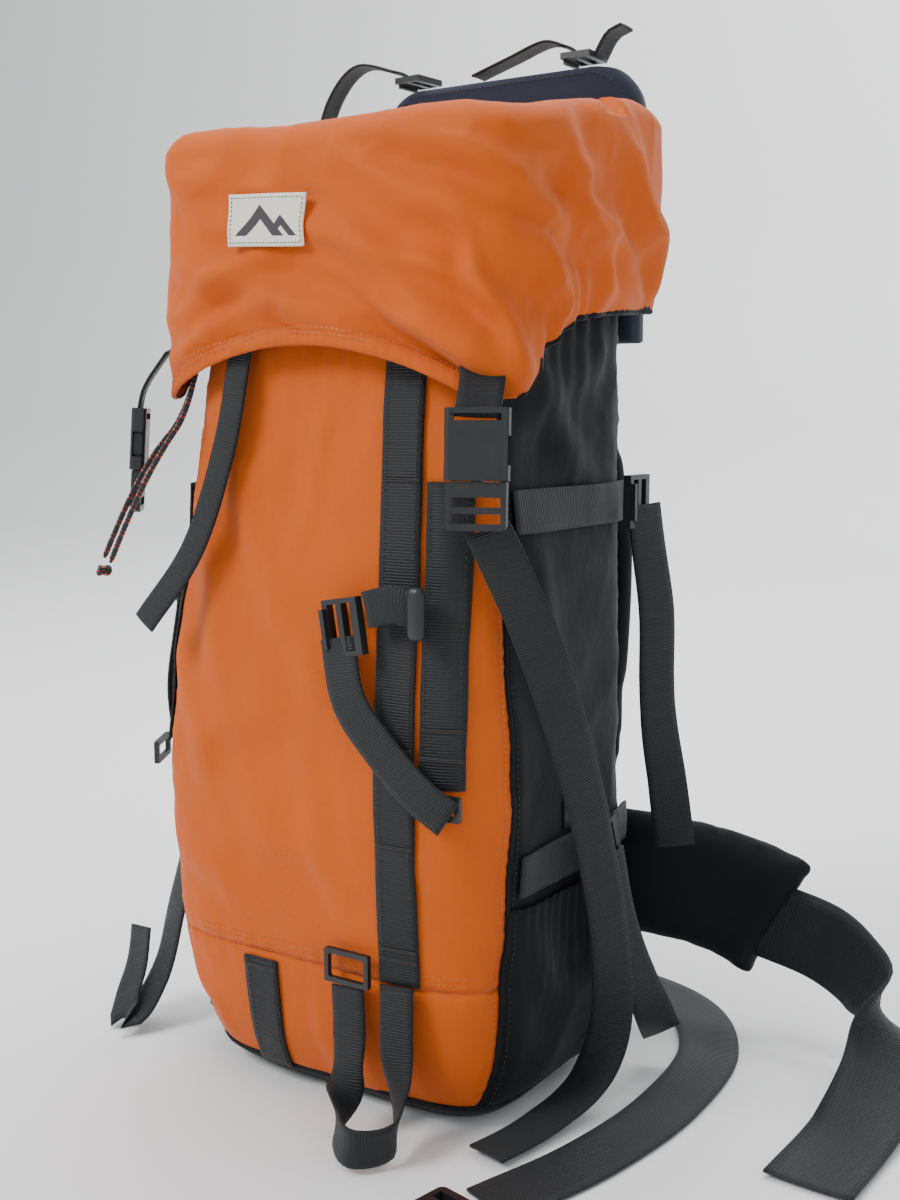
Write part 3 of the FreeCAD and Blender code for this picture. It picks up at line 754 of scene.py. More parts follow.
# ---- stitches by Geometry Nodes -----------------------------------------------------------------
def stitch_tree(name, material):
    """Node group that sets small rounded stitches along a line."""
    tree = bpy.data.node_groups.new(name, "GeometryNodeTree")
    tree.interface.new_socket("Line", in_out="INPUT", socket_type="NodeSocketGeometry")
    sizes = [tree.interface.new_socket(size, in_out="INPUT", socket_type="NodeSocketFloat")
             for size in ("Pitch", "Length", "Thread")]
    tree.interface.new_socket("Stitches", in_out="OUTPUT", socket_type="NodeSocketGeometry")
    kinds = {
        "source": "NodeGroupInput", "out": "NodeGroupOutput", "curve": "GeometryNodeMeshToCurve",
        "steps": "GeometryNodeResampleCurve", "bead": "GeometryNodeMeshIcoSphere",
        "tangent": "GeometryNodeInputTangent", "align": "FunctionNodeAlignRotationToVector",
        "size": "ShaderNodeCombineXYZ", "place": "GeometryNodeInstanceOnPoints",
        "real": "GeometryNodeRealizeInstances", "shade": "GeometryNodeSetShadeSmooth",
        "paint": "GeometryNodeSetMaterial",
    }
    node = {key: tree.nodes.new(kind) for key, kind in kinds.items()}
    node["steps"].mode = "LENGTH"
    node["bead"].inputs["Radius"].default_value = 0.5
    node["bead"].inputs["Subdivisions"].default_value = 2
    node["align"].axis = "X"
    node["paint"].inputs["Material"].default_value = material
    wires = (
        ("source", "Line", "curve", "Mesh"), ("curve", "Curve", "steps", "Curve"),
        ("source", "Pitch", "steps", "Length"), ("steps", "Curve", "place", "Points"),
        ("bead", "Mesh", "place", "Instance"), ("tangent", "Tangent", "align", "Vector"),
        ("align", "Rotation", "place", "Rotation"), ("source", "Length", "size", "X"),
        ("source", "Thread", "size", "Y"), ("source", "Thread", "size", "Z"),
        ("size", "Vector", "place", "Scale"), ("place", "Instances", "real", "Geometry"),
        ("real", "Geometry", "shade", "Geometry"), ("shade", "Geometry", "paint", "Geometry"),
        ("paint", "Geometry", "out", "Stitches"),
    )
    for start, output, end, entry in wires:
        tree.links.new(node[start].outputs[output], node[end].inputs[entry])
    return tree, [socket.identifier for socket in sizes]


def stitches(name, lines, body, material="thread", pitch=None, length=None, thread=None):
    """All the stitch lines of one colour on one body, as one mesh."""
    _, sizes = settings()
    verts, edges = [], []
    for line in lines:
        start = len(verts)
        verts += [tuple(p) for p in line]
        edges += [(start + i, start + i + 1) for i in range(len(line) - 1)]
    mesh = bpy.data.meshes.new(name)
    mesh.from_pydata(verts, edges, [])
    obj = link(name, mesh)
    tree, keys = stitch_tree(name + "_nodes", MATERIALS[material])
    live = obj.modifiers.new("stitches", "NODES")
    live.node_group = tree
    values = (pitch or sizes.stitch_pitch, length or sizes.stitch_length, thread or sizes.thread)
    for key, value in zip(keys, values):
        live[key] = value
    bake(obj)
    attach(obj, body)
    return obj


def stitch_line(start, end, direction, lift, group="bag", step=0.004):
    """Points of a straight stitch line laid on the cloth."""
    start, end, direction = Vector(start), Vector(end), Vector(direction).normalized()
    count = max(2, int((end - start).length / step))
    return [drop(group, start.lerp(end, i / count), direction, lift) for i in range(count + 1)]


# ---- padded parts -------------------------------------------------------------------------------
def padded_piece(name, node, body, material, slot, cap):
    """Foam pad swollen in its cover by a short pressure simulation, no point moving past the cap."""
    obj = link(name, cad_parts[node].data.copy(), MATERIALS[material])
    remesh = obj.modifiers.new("remesh", "REMESH")
    remesh.mode = "VOXEL"
    remesh.voxel_size = 0.005
    bake(obj)
    before = [v.co.copy() for v in obj.data.vertices]
    cloth = obj.modifiers.new("cloth", "CLOTH")
    cloth.settings.use_pressure = True
    cloth.settings.uniform_pressure_force = 4
    cloth.settings.effector_weights.gravity = 0
    cloth.point_cache.frame_start = 1
    cloth.point_cache.frame_end = 20
    for step in range(1, 21):
        bpy.context.scene.frame_set(step)
    bake(obj)
    bpy.context.scene.frame_set(1)
    for vert, old in zip(obj.data.vertices, before):
        move = vert.co - old
        if move.length > cap:
            vert.co = old + move.normalized() * cap
    smooth = obj.modifiers.new("smooth", "SMOOTH")
    smooth.factor = 0.5
    smooth.iterations = 10
    fine = obj.modifiers.new("subdivision", "SUBSURF")
    fine.levels = fine.render_levels = 1
    bake(obj)
    dress(obj.data, MATERIALS[material])
    settle(obj, body, slot, node)
    return obj


# ---- operators ------------------------------------------------------------------------------------
class Piece:
    """Shared by the operators: run the named builder."""

    def execute(self, context):
        self.build()
        return {"FINISHED"}


class PACK_OT_materials(Piece, bpy.types.Operator):
    """Make the cloth, webbing, acetal and cord materials"""
    bl_idname = "pack.materials"
    bl_label = "Materials"

    def build(self):
        make_materials()


class PACK_OT_bag(Piece, bpy.types.Operator):
    """Build the bag's panels, base, side pockets and collar"""
    bl_idname = "pack.bag"
    bl_label = "Bag"

    def build(self):
        panels = [
            ("front_cloth", "front", LOWER_SEAM_Z, BAG_TOP, 110, "orange", "orange_nylon", "front_panel"),
            ("front_lower_cloth", "front", BASE_SEAM_Z, LOWER_SEAM_Z, 110, "orange", "orange_nylon",
             "front_lower_panel"),
            ("right_side_cloth", "right", BASE_SEAM_Z, BAG_TOP, 70, "black", "black_nylon",
             "right_side_panel"),
            ("back_cloth", "back", BASE_SEAM_Z, BAG_TOP, 60, "navy", "navy_nylon", "back_panel"),
            ("left_side_cloth", "left", BASE_SEAM_Z, BAG_TOP, 70, "black", "black_nylon", "left_side_panel"),
        ]
        made = []
        for name, kind, low, high, columns, material, slot, node in panels:
            obj = thicken(grid(name, bag_rows(kind, low, high, columns), material), CLOTH_T)
            made.append(settle(obj, "pack", slot, node))
        for side in ("right", "left"):
            made.append(self.pocket(side))
        self.base()
        note_cloth("bag", made)
        self.collar()

    def pocket(self, side):
        """Stretch pocket low on the side, bulging a little, with a gathered hem."""
        rows = bag_rows(side, BASE_SEAM_Z + 0.002, 0.134, 60)
        centre = Vector((-0.012, -0.01, 0))
        for i, row in enumerate(rows):
            up = i / (len(rows) - 1)
            for k, at in enumerate(row):
                across = k / (len(row) - 1)
                edge = min(1.0, 12 * across, 12 * (1 - across))
                gather = 0.0012 * math.sin(across * 110) * up ** 3
                out = 0.0016 + edge * (0.0035 * math.sin(math.pi * min(1, up * 1.1)) + 0.0035 * up + gather)
                away = (at - centre)
                away.z = 0
                row[k] = at + away.normalized() * out
        obj = thicken(grid(side + "_pocket_cloth", rows, "black"), CLOTH_T)
        return settle(obj, "pack", "black_nylon", side + "_side_pocket")

    def base(self):
        """Base panel: rolled edge up to the lower seam and a flat underside."""
        rows = []
        for shrink in (0.25, 0.5, 0.75, 0.9, 1.0):
            x, y, _, _, _ = outline(extents(0.0), BAG_SQUARE, -math.pi, math.pi, 161)
            rows.append([Vector((-0.007 + (a + 0.007) * shrink, -0.011 + (b + 0.011) * shrink, 0.0014))
                         for a, b in zip(x[:-1], y[:-1])])
        for z in (0.002, 0.005, 0.008, 0.012, 0.015):
            x, y, nx, ny, _ = outline(extents(z), BAG_SQUARE, -math.pi, math.pi, 161)
            lift = 0.0008 if z < 0.015 else 0.0002
            rows.append([Vector((a + u * lift, b + v * lift, z)) for a, b, u, v in
                         zip(x[:-1], y[:-1], nx[:-1], ny[:-1])])
        obj = thicken(close_ends(grid("base_cloth", rows, "black", closed=True), 160), 0.001)
        settle(obj, "pack", "black_nylon", "base_panel")

    def collar(self):
        """Snow collar above the bag, drawn in at the top with deep gathers."""
        rows = []
        for i in range(24):
            t = i / 23
            z = 0.452 + 0.070 * t
            sides = extents(BAG_TOP)
            inset = 0.004 + 0.014 * t ** 1.5
            grown = (sides[0] + inset, sides[1] - inset, sides[2] + inset, sides[3] - inset)
            x, y, nx, ny, _ = outline(grown, BAG_SQUARE, -math.pi, math.pi, 401)
            row = []
            for k in range(400):
                wave = 0.0016 * t * math.sin(k * 0.55) + 0.0008 * math.sin(k * 0.23 + 4 * t)
                row.append(Vector((x[k] + nx[k] * wave, y[k] + ny[k] * wave, z)))
            rows.append(row)
        obj = thicken(grid("collar_cloth", rows, "navy", closed=True), 0.001)
        settle(obj, "pack", "navy_nylon", "snow_collar")


def hem_height(x, y):
    """Height of the lid's hem: an arch in front, higher and gathered at the sides."""
    arch = 0.446 - 0.030 * min(1.0, abs((x + 0.010) / 0.110)) ** 2
    side = float(np.interp(y, [-0.095, -0.075, -0.045, 0.0, 0.092], [0.418, 0.440, 0.458, 0.464, 0.470]))
    blend = min(1.0, max(0.0, (y + 0.110) / 0.020))
    return arch * (1 - blend) + side * blend


def rim_rise(x, y):
    """Height of the lid's rim over its even level: sagging in front, peaked at the rear right corner."""
    front = float(np.interp(y, [-0.10, 0.0], [1, 0]) * np.interp(x, [LID[0], -0.02, LID[1]], [0.3, 1, 0.8]))
    corner = float(np.interp(x, [0.094, 0.114], [0, 1]) * np.interp(y, [-0.09, 0.03], [0, 1]))
    return CORNER_RISE * corner - RIM_DIP * front


class PACK_OT_lid(Piece, bpy.types.Operator):
    """Build the draped lid, its liner, hem, zip and label"""
    bl_idname = "pack.lid"
    bl_label = "Lid"

    def build(self):
        columns, rise = 420, 56
        rim_z = LID_TOP - 0.012
        left, right, front, back = LID
        x, y, nx, ny, s = outline((left, right, front, back - 0.002), LID_SQUARE, -math.pi, math.pi,
                                  columns + 1)
        _, sizes = settings()
        rows = []
        for i in range(rise + 1):
            t = i / rise
            row = []
            for k in range(columns):
                low = hem_height(x[k], y[k])
                z = low + (rim_z - low) * t
                side = min(1.0, max(0.0, (y[k] + 0.105) / 0.03))
                d = sizes.fold_depth * (fold_height(float(s[k]), z, LID_FOLDS)
                                        + soft_relief(float(s[k]) + 3, z, 1.5))
                near = math.exp(-(z - low) / 0.022)
                d += near * side * 0.0022 * math.sin(s[k] * 260 + 4 * math.sin(s[k] * 37))
                d -= 0.006 * side * math.exp(-(z - low) / 0.010)
                d = min(d, 0.009)
                if y[k] > 0.075:
                    d = min(d, 0.0) * 0.3
                row.append(Vector((x[k] + nx[k] * d, y[k] + ny[k] * d, z)))
            rows.append(row)
        hem = [p.copy() for p in rows[0]]
        for i in range(rise - 14, rise + 1):
            share = (i - rise + 14) / 14
            for p in rows[i]:
                p.z += share * rim_rise(p.x, p.y)
        rim = rows[-1]
        centre = Vector(((left + right) / 2, (front + back) / 2, 0))
        for drawn, lift in LID_CROWN:
            row = []
            for p in rim:
                at = centre + (Vector((p.x, p.y, 0)) - centre) * drawn
                slack = 0.0022 * noise.noise(Vector((at.x * 22, at.y * 22, 4)))
                crease = 0.0016 * (1 - 2 * abs(noise.noise(Vector((at.x * 30 + at.y * 18, at.y * 26, 9)))))
                z = p.z * drawn + rim_z * (1 - drawn) + lift + (slack + crease) * (1 - drawn ** 6)
                if at.y > 0.0:
                    z = min(z, LID_TOP + float(np.interp(at.x, [0.091, 0.124], [0.0008, 0.0220])))
                if abs(at.y + 0.0105) < 0.012 and at.x > 0.055:
                    z = min(z, LID_TOP - 0.0014)
                row.append(Vector((at.x, at.y, z)))
            rows.append(row)
        obj = thicken(close_ends(grid("lid_cloth", rows, "orange", closed=True), -columns), CLOTH_T)
        settle(obj, "lid", "orange_nylon", "lid_shell")
        note_cloth("lid", [obj])
        self.hem(hem, nx, ny)
        self.liner()
        self.label()
        self.zip()

    def hem(self, hem, nx, ny):
        """Black elastic along the sides and a folded orange hem in front."""
        count = len(hem)
        ranges = {"black": ("lid_elastic", lambda p: p.y > -0.098 and p.y < 0.080),
                  "orange": ("lid_front_hem", lambda p: p.y <= -0.098)}
        for material, (name, inside) in ranges.items():
            parts, current = [], []
            for k in list(range(count)) + [0]:
                if inside(hem[k]):
                    current.append(k)
                elif current:
                    parts.append(current)
                    current = []
            if current:
                parts.append(current)
            pieces = []
            for part in parts:
                if len(part) < 4:
                    continue
                rows = []
                for k in part:
                    out = Vector((nx[k], ny[k], 0))
                    p = hem[k] + out * (0.0008 + 0.0003 * math.sin(k * 1.9))
                    height = 0.007 if material == "black" else 0.009
                    rows.append([p + Vector((0, 0, height)) - out * 0.0006, p + out * 0.0004,
                                 p - Vector((0, 0, 0.0012)) - out * 0.0010, p - out * 0.0026])
                pieces.append(thicken(grid(name, rows, material), 0.0008))
            obj = join(name, pieces)
            settle(obj, "lid", "black_nylon" if material == "black" else "orange_nylon")

    def liner(self):
        """Cloth floor of the lid pocket, a little smaller than the lid."""
        low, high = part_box("lid_liner")
        inset = 0.012
        sides = (low[0] + inset, high[0] - inset, low[1] + inset, high[1] - inset)
        x, y, _, _, _ = outline(sides, LID_SQUARE, -math.pi, math.pi, 97)
        centre = Vector(((sides[0] + sides[1]) / 2, (sides[2] + sides[3]) / 2, low[2]))
        rows = []
        for share in (1.0, 0.85, 0.65, 0.45, 0.25, 0.08):
            rows.append([centre + Vector(((a - centre.x) * share, (b - centre.y) * share,
                                          0.0012 * noise.noise(Vector((a * 30, b * 30, share * 9)))))
                         for a, b in zip(x[:-1], y[:-1])])
        obj = thicken(close_ends(grid("liner_cloth", rows, "navy", closed=True), -96), CLOTH_T)
        settle(obj, "lid", "navy_nylon", "lid_liner")

    def label(self):
        """Woven label on the front of the lid, stitched round its edge."""
        rows, columns, lines = [], 27, 14
        turn = math.radians(3)
        for r in range(lines + 1):
            row = []
            for c in range(columns + 1):
                u, v = (c / columns - 0.5) * 0.054, (r / lines - 0.5) * 0.028
                at = Vector((-0.024 + u * math.cos(turn) + v * math.sin(turn), 0,
                             0.512 - u * math.sin(turn) + v * math.cos(turn)))
                row.append(drop("lid", at, Vector((0, 1, 0)), 0.0012))
            rows.append(row)
        mean = sum(p.y for row in rows for p in row) / sum(len(row) for row in rows)
        stiff = [[Vector((p.x, mean + 0.3 * (p.y - mean), p.z)) for p in row] for row in rows]
        forward = min(p.y - q.y for row, flat in zip(rows, stiff) for p, q in zip(row, flat))
        rows = [[p + Vector((0, min(forward, 0.0), 0)) for p in row] for row in stiff]
        obj = thicken(grid("lid_label", rows, "patch"), 0.0008, 0.0)
        settle(obj, "lid", "woven_patch", "lid_patch")
        lift = Vector((0, -0.0006, 0))
        ring = [rows[1][c] + lift for c in range(1, columns)]
        ring += [rows[r][columns - 1] + lift for r in range(1, lines)]
        ring += [rows[lines - 1][c] + lift for c in range(columns - 1, 0, -1)]
        ring += [rows[r][1] + lift for r in range(lines - 1, 0, -1)]
        stitches("label_stitches", [ring], "lid", "thread", pitch=0.0024, length=0.0016)

    def zip(self):
        """Short zip in the lid's top: tape and teeth."""
        down = Vector((0, 0, -1))
        tape = laid("zip_tape", (0.066, -0.0105, 0.58), (0.119, -0.0105, 0.58), 0.016, down, 0.0008,
                    "black", "lid", thickness=0.0008)
        settle(tape, "lid", "black_acetal", "lid_zip")
        line = stitch_line((0.069, -0.0105, 0.58), (0.107, -0.0105, 0.58), down, 0.0012, "lid")
        stitches("zip_teeth", [line], "lid", "acetal", pitch=0.0013, length=0.0009,
                 thread=0.0018)


class PACK_OT_back(Piece, bpy.types.Operator):
    """Build the yoke, the back pad and the padded harness"""
    bl_idname = "pack.back"
    bl_label = "Back and harness"

    def build(self):
        self.yoke()
        padded_piece("back_cushion", "back_pad", "pack", "navy", "navy_nylon", 0.006)
        for side in ("left", "right"):
            padded_piece(side + "_shoulder_cushion", side + "_shoulder_strap", side + "_shoulder", "black",
                         "padded_foam", 0.005)
            padded_piece(side + "_hip_cushion", side + "_hip_fin", "pack" if side == "left" else "right_hip",
                         "black", "padded_foam", 0.005)

    def yoke(self):
        """Stiffened cloth plate that stands up behind the lid, with a bound edge."""
        low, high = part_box("yoke")
        corner = 0.030
        width = (high[0] - low[0]) / 2
        cx, mid = (high[0] + low[0]) / 2, (low[2] + high[2]) / 2
        right = [(width, low[2])]
        for k in range(25):
            a = math.pi / 2 * k / 24
            right.append((width - corner + corner * math.sin(math.pi / 2 - a),
                          high[2] - corner + corner * math.sin(a)))
        edge = [(cx + x, z) for x, z in right + [(-a, b) for a, b in reversed(right)]]
        loops = []
        for shrink, y in ((0.0, low[1] + 0.004), (0.94, low[1] + 0.002), (0.985, low[1] + 0.004),
                          (1.0, (low[1] + high[1]) / 2 + 0.002), (0.985, high[1] - 0.001), (0.94, high[1]),
                          (0.0, high[1] + 0.001)):
            size = max(shrink, 0.02)
            loops.append([Vector((cx + (x - cx) * size, y, mid + (z - mid) * size)) for x, z in edge])
        obj = close_ends(grid("yoke_cloth", loops, "navy", closed=True))
        settle(obj, "pack", "navy_nylon", "yoke")
        line = [p + Vector((0, 0.0003, 0)) for p in loops[5][1:-1]]
        front = [Vector((p.x, loops[1][0].y - 0.0003, p.z)) for p in loops[1][1:-1]]
        stitches("yoke_stitches", [line, front], "pack")


class PACK_OT_webbing(Piece, bpy.types.Operator):
    """Build every strap: bands on the bag, loose tails, loops and belts"""
    bl_idname = "pack.webbing"
    bl_label = "Webbing"

    def build(self):
        front, left, right = Vector((0, 1, 0)), Vector((1, 0, 0)), Vector((-1, 0, 0))
        slot = "charcoal_webbing"
        chain = laid("daisy_webbing", (CHAIN_X, 0, 0.090), (CHAIN_X, 0, 0.452), 0.025, front)
        settle(chain, "pack", slot, "daisy_chain")
        spare = laid("spare_webbing", (SPARE_X, 0, 0.004), (SPARE_X, 0, 0.084), 0.025, front)
        settle(spare, "pack", slot, "spare_axe_loop")
        self.loops(slot)
        self.lid_straps(front, slot)
        self.side_straps(left, right, slot)
        self.belts(slot)
        self.tabs(slot)
        self.keeper()
        self.tacks(front)

    def loops(self, slot):
        points = ((0.052, -0.1165, 0.090), (0.055, -0.121, 0.052), (0.061, -0.127, 0.028),
                  (0.069, -0.146, 0.016), (0.054, -0.163, 0.015), (0.034, -0.150, 0.017),
                  (0.025, -0.128, 0.032), (0.022, -0.121, 0.056), (0.020, -0.1195, 0.084))
        across = ((1, 0, 0), (1, 0, 0.1), (0.7, -0.5, 0.5), (0.1, -0.2, 1), (0, 0, 1), (0, 0.2, 1),
                  (-0.7, 0.4, 0.6), (-1, 0, 0.1), (-1, 0, 0))
        settle(strap("axe_loop_webbing", points, across, 0.022), "pack", slot, "ice_axe_loop")
        band = strap("holder_band", ((0.072, -0.1225, 0.303), (0.058, -0.126, 0.307), (0.040, -0.127, 0.303)),
                     ((0, 0, 1),) * 3, 0.020)
        tail = strap("holder_tail", ((0.020, -0.1255, 0.286), (0.028, -0.127, 0.252), (0.048, -0.127, 0.228),
                                     (0.072, -0.126, 0.206), (0.090, -0.122, 0.193)),
                     ((1, 0, 0.1), (1, 0, 0.4), (0.8, 0, 0.6), (0.8, 0, 0.6), (0.6, 0, 0.8)), 0.023)
        settle(join("axe_holder_webbing", [band, tail]), "pack", slot, "axe_holder_strap")
        rope = strap("rope_webbing", ((-0.056, -0.1135, 0.446), (-0.064, -0.120, 0.390),
                                      (-0.084, -0.127, 0.330), (-0.118, -0.134, 0.284)),
                     ((1, 0, -0.1), (1, 0, -0.2), (0.95, 0, -0.3), (0.9, 0, -0.45)), 0.016)
        settle(rope, "pack", slot, "rope_strap")
        loop = strap("haul_webbing", ((-0.027, 0.112, 0.558), (-0.023, 0.121, 0.561), (-0.008, 0.127, 0.564),
                                      (0.007, 0.121, 0.561), (0.011, 0.112, 0.558)),
                     ((0, 0, 1),) * 5, 0.014, thickness=0.0028)
        settle(loop, "haul_loop", slot, "haul_loop")

    def lid_straps(self, front, slot):
        band = laid("right_lid_band", (TACK_X, 0, 0.206), (TACK_X, 0, 0.372), 0.024, front)
        points = ((0.1105, -0.1165, 0.3490), (0.124, -0.096, 0.300), (0.132, -0.070, 0.240),
                  (0.136, -0.042, 0.170), (0.137, -0.022, 0.100), (0.134, -0.014, 0.050),
                  (0.127, -0.028, 0.017), (0.118, -0.066, 0.006), (0.108, -0.112, 0.005))
        across = ((0.9, 0.35, 0), (0.75, 0.6, 0), (0.55, 0.8, 0), (0.45, 0.9, 0), (0.5, 0.85, 0),
                  (0.8, 0.5, 0), (1, 0, 0), (1, 0, 0), (1, -0.1, 0))
        tail = strap("right_lid_tail", points, across, 0.025, sway=0.002)
        settle(join("right_lid_webbing", [band, tail]), "pack", slot, "right_lid_strap")
        band = laid("left_lid_webbing", (-0.1335, -0.093, 0.206), (-0.1265, -0.093, 0.366), 0.024,
                    Vector((0.89, 0.454, 0)))
        settle(band, "pack", slot, "left_lid_strap")
        tag = laid("side_tag_cloth", (0.0965, 0, 0.168), (0.0965, 0, 0.196), 0.010,
                   Vector((-0.55, 0.83, 0)), 0.0012, "tag", thickness=0.0008)
        settle(tag, "pack", slot, "side_tag")

    def tabs(self, slot):
        """Short straps from under the lid to the two buckle sockets."""
        left = strap("left_tab", ((-0.1450, -0.1065, 0.4065), (-0.140, -0.105, 0.424),
                                  (-0.124, -0.100, 0.446)), ((0.643, -0.766, 0),) * 3, 0.024)
        right = strap("right_tab", ((0.1078, -0.1228, 0.4065), (0.105, -0.113, 0.426),
                                    (0.100, -0.106, 0.446)), ((0.94, 0.342, 0),) * 3, 0.024)
        settle(join("tab_webbing", [left, right]), "lid", slot, "lid_tabs")

    def keeper(self):
        """Moulded keeper that holds the band on the chain."""
        loops = []
        sections = ((0.0030, 0.0125, -0.1215), (0.0045, 0.0140, -0.1235), (0.0050, 0.0145, -0.1262),
                    (0.0040, 0.0135, -0.1282), (0.0020, 0.0110, -0.1288))
        for half_w, half_h, y in sections:
            loops.append([Vector((0.072 + half_w * math.copysign(abs(math.cos(a)) ** 0.4, math.cos(a)), y,
                                  0.303 + half_h * math.copysign(abs(math.sin(a)) ** 0.4, math.sin(a))))
                          for a in [2 * math.pi * k / 32 for k in range(32)]])
        obj = close_ends(grid("chain_keeper", loops, "acetal", closed=True))
        settle(obj, "pack", "black_acetal")

    def side_straps(self, left, right, slot):
        bands = {
            "right_upper": (right, 0.355), "right_lower": (right, 0.153),
            "left_upper": (left, 0.302), "left_lower": (left, 0.153),
        }
        tails = {
            "right_upper": (
                ((0.119, 0.050, 0.353), (0.128, 0.052, 0.290), (0.128, 0.056, 0.230), (0.131, 0.066, 0.180),
                 (0.134, 0.074, 0.136)),
                ((0.4, 0.9, 0), (0.5, 0.85, 0), (0.5, 0.85, 0), (0.7, 0.7, 0), (0.9, 0.4, 0))),
            "right_lower": (
                ((0.124, 0.003, 0.148), (0.132, 0.010, 0.096), (0.138, 0.020, 0.064), (0.140, 0.034, 0.040),
                 (0.137, 0.052, 0.022)),
                ((0.1, 1, 0), (0.2, 0.95, 0), (0.3, 0.9, 0.1), (0.5, 0.8, 0.1), (0.6, 0.7, 0.1))),
            "left_upper": (
                ((-0.149, -0.062, 0.296), (-0.154, -0.068, 0.240), (-0.156, -0.062, 0.200),
                 (-0.158, -0.056, 0.172)), ((0.2, -1, 0),) * 4),
            "left_lower": (
                ((-0.157, -0.053, 0.136), (-0.167, -0.060, 0.084), (-0.172, -0.068, 0.044),
                 (-0.176, -0.084, 0.018), (-0.182, -0.096, 0.009), (-0.190, -0.088, 0.017),
                 (-0.195, -0.074, 0.036), (-0.197, -0.066, 0.060)),
                ((0.9, -0.4, 0), (0.9, -0.4, 0), (0.9, -0.4, 0), (0.9, -0.3, 0), (0.95, -0.1, 0),
                 (0.9, -0.3, 0), (0.9, -0.3, 0), (0.9, -0.3, 0))),
        }
        for name, (direction, z) in bands.items():
            band = laid(name + "_band", (0, -0.080, z), (0, 0.058, z), 0.024, direction, 0.002)
            tail = strap(name + "_tail", *tails[name], 0.025, sway=0.002)
            settle(join(name + "_webbing", [band, tail]), "pack", slot, name + "_strap")

    def belts(self, slot):
        points = ((0.168, 0.133, 0.079), (0.214, 0.131, 0.070), (0.246, 0.114, 0.058), (0.264, 0.098, 0.040),
                  (0.272, 0.072, 0.022), (0.270, 0.024, 0.006), (0.266, -0.045, 0.0035))
        across = ((0, 0.3, 0.95), (0, 0.3, 0.95), (-0.2, 0.3, 0.95), (-0.6, 0.2, 0.8), (-1, 0, 0.4),
                  (-1, 0, 0), (-1, 0, 0))
        settle(strap("right_belt", points, across, 0.050), "right_hip", slot, "right_belt_webbing")
        points = ((-0.186, 0.134, 0.078), (-0.232, 0.142, 0.062), (-0.240, 0.156, 0.044),
                  (-0.222, 0.172, 0.023), (-0.186, 0.178, 0.006), (-0.120, 0.176, 0.002),
                  (0.020, 0.166, 0.002), (0.110, 0.144, 0.002), (0.156, 0.084, 0.002), (0.166, 0.0, 0.002),
                  (0.156, -0.080, 0.002), (0.134, -0.150, 0.002))
        across = ((0, 0.3, 0.95), (0, 0.1, 1), (0.1, -0.3, 1), (0.2, -0.8, 0.6), (0, -1, 0.05), (0, -1, 0),
                  (0, -1, 0), (-0.5, -0.8, 0), (-0.9, -0.3, 0), (-1, 0, 0), (-1, 0.1, 0), (-1, 0.2, 0))
        settle(strap("left_belt", points, across, 0.038), "pack", slot, "left_belt_webbing")
        y = 0.105
        left = strap("left_lifter", ((-0.172, y + 0.004, 0.590), (-0.156, y + 0.002, 0.628),
                                     (-0.130, y, 0.648), (-0.096, y, 0.640)), ((0, 1, 0),) * 4, 0.016)
        right = strap("right_lifter", ((-0.034, y, 0.630), (-0.006, y, 0.638), (0.020, y, 0.645),
                                       (0.036, y, 0.640)), ((0, 1, 0),) * 4, 0.016)
        end = strap("lifter_end", ((0.058, y, 0.632), (0.066, y, 0.644), (0.076, y, 0.648)), ((0, 1, 0),) * 3,
                    0.018)
        settle(join("lifter_webbing", [left, right, end]), "pack", slot, "lifter_straps")

    def tacks(self, front):
        """Edge seams and bar tacks of the front webbing."""
        lines = []
        for x, low, high in ((CHAIN_X, 0.092, 0.450), (SPARE_X, 0.006, 0.082), (TACK_X, 0.208, 0.368)):
            for side in (-0.0095, 0.0095):
                lines.append(stitch_line((x + side, 0, low), (x + side, 0, high), front, 0.0027))
        stitches("front_webbing_stitches", lines, "pack", "thread")
        bars = []
        for x, heights in ((CHAIN_X, (0.104, 0.110, 0.170, 0.225, 0.372, 0.424)), (SPARE_X, (0.078,)),
                           (TACK_X, (0.222, 0.238))):
            for height in heights:
                for z in (height, height + 0.0011):
                    bars.append(stitch_line((x - 0.011, 0, z), (x + 0.011, 0, z), front, 0.0028, step=0.002))
        stitches("bar_tacks", bars, "pack", "thread", pitch=0.0011, length=0.0016,
                 thread=0.0009)


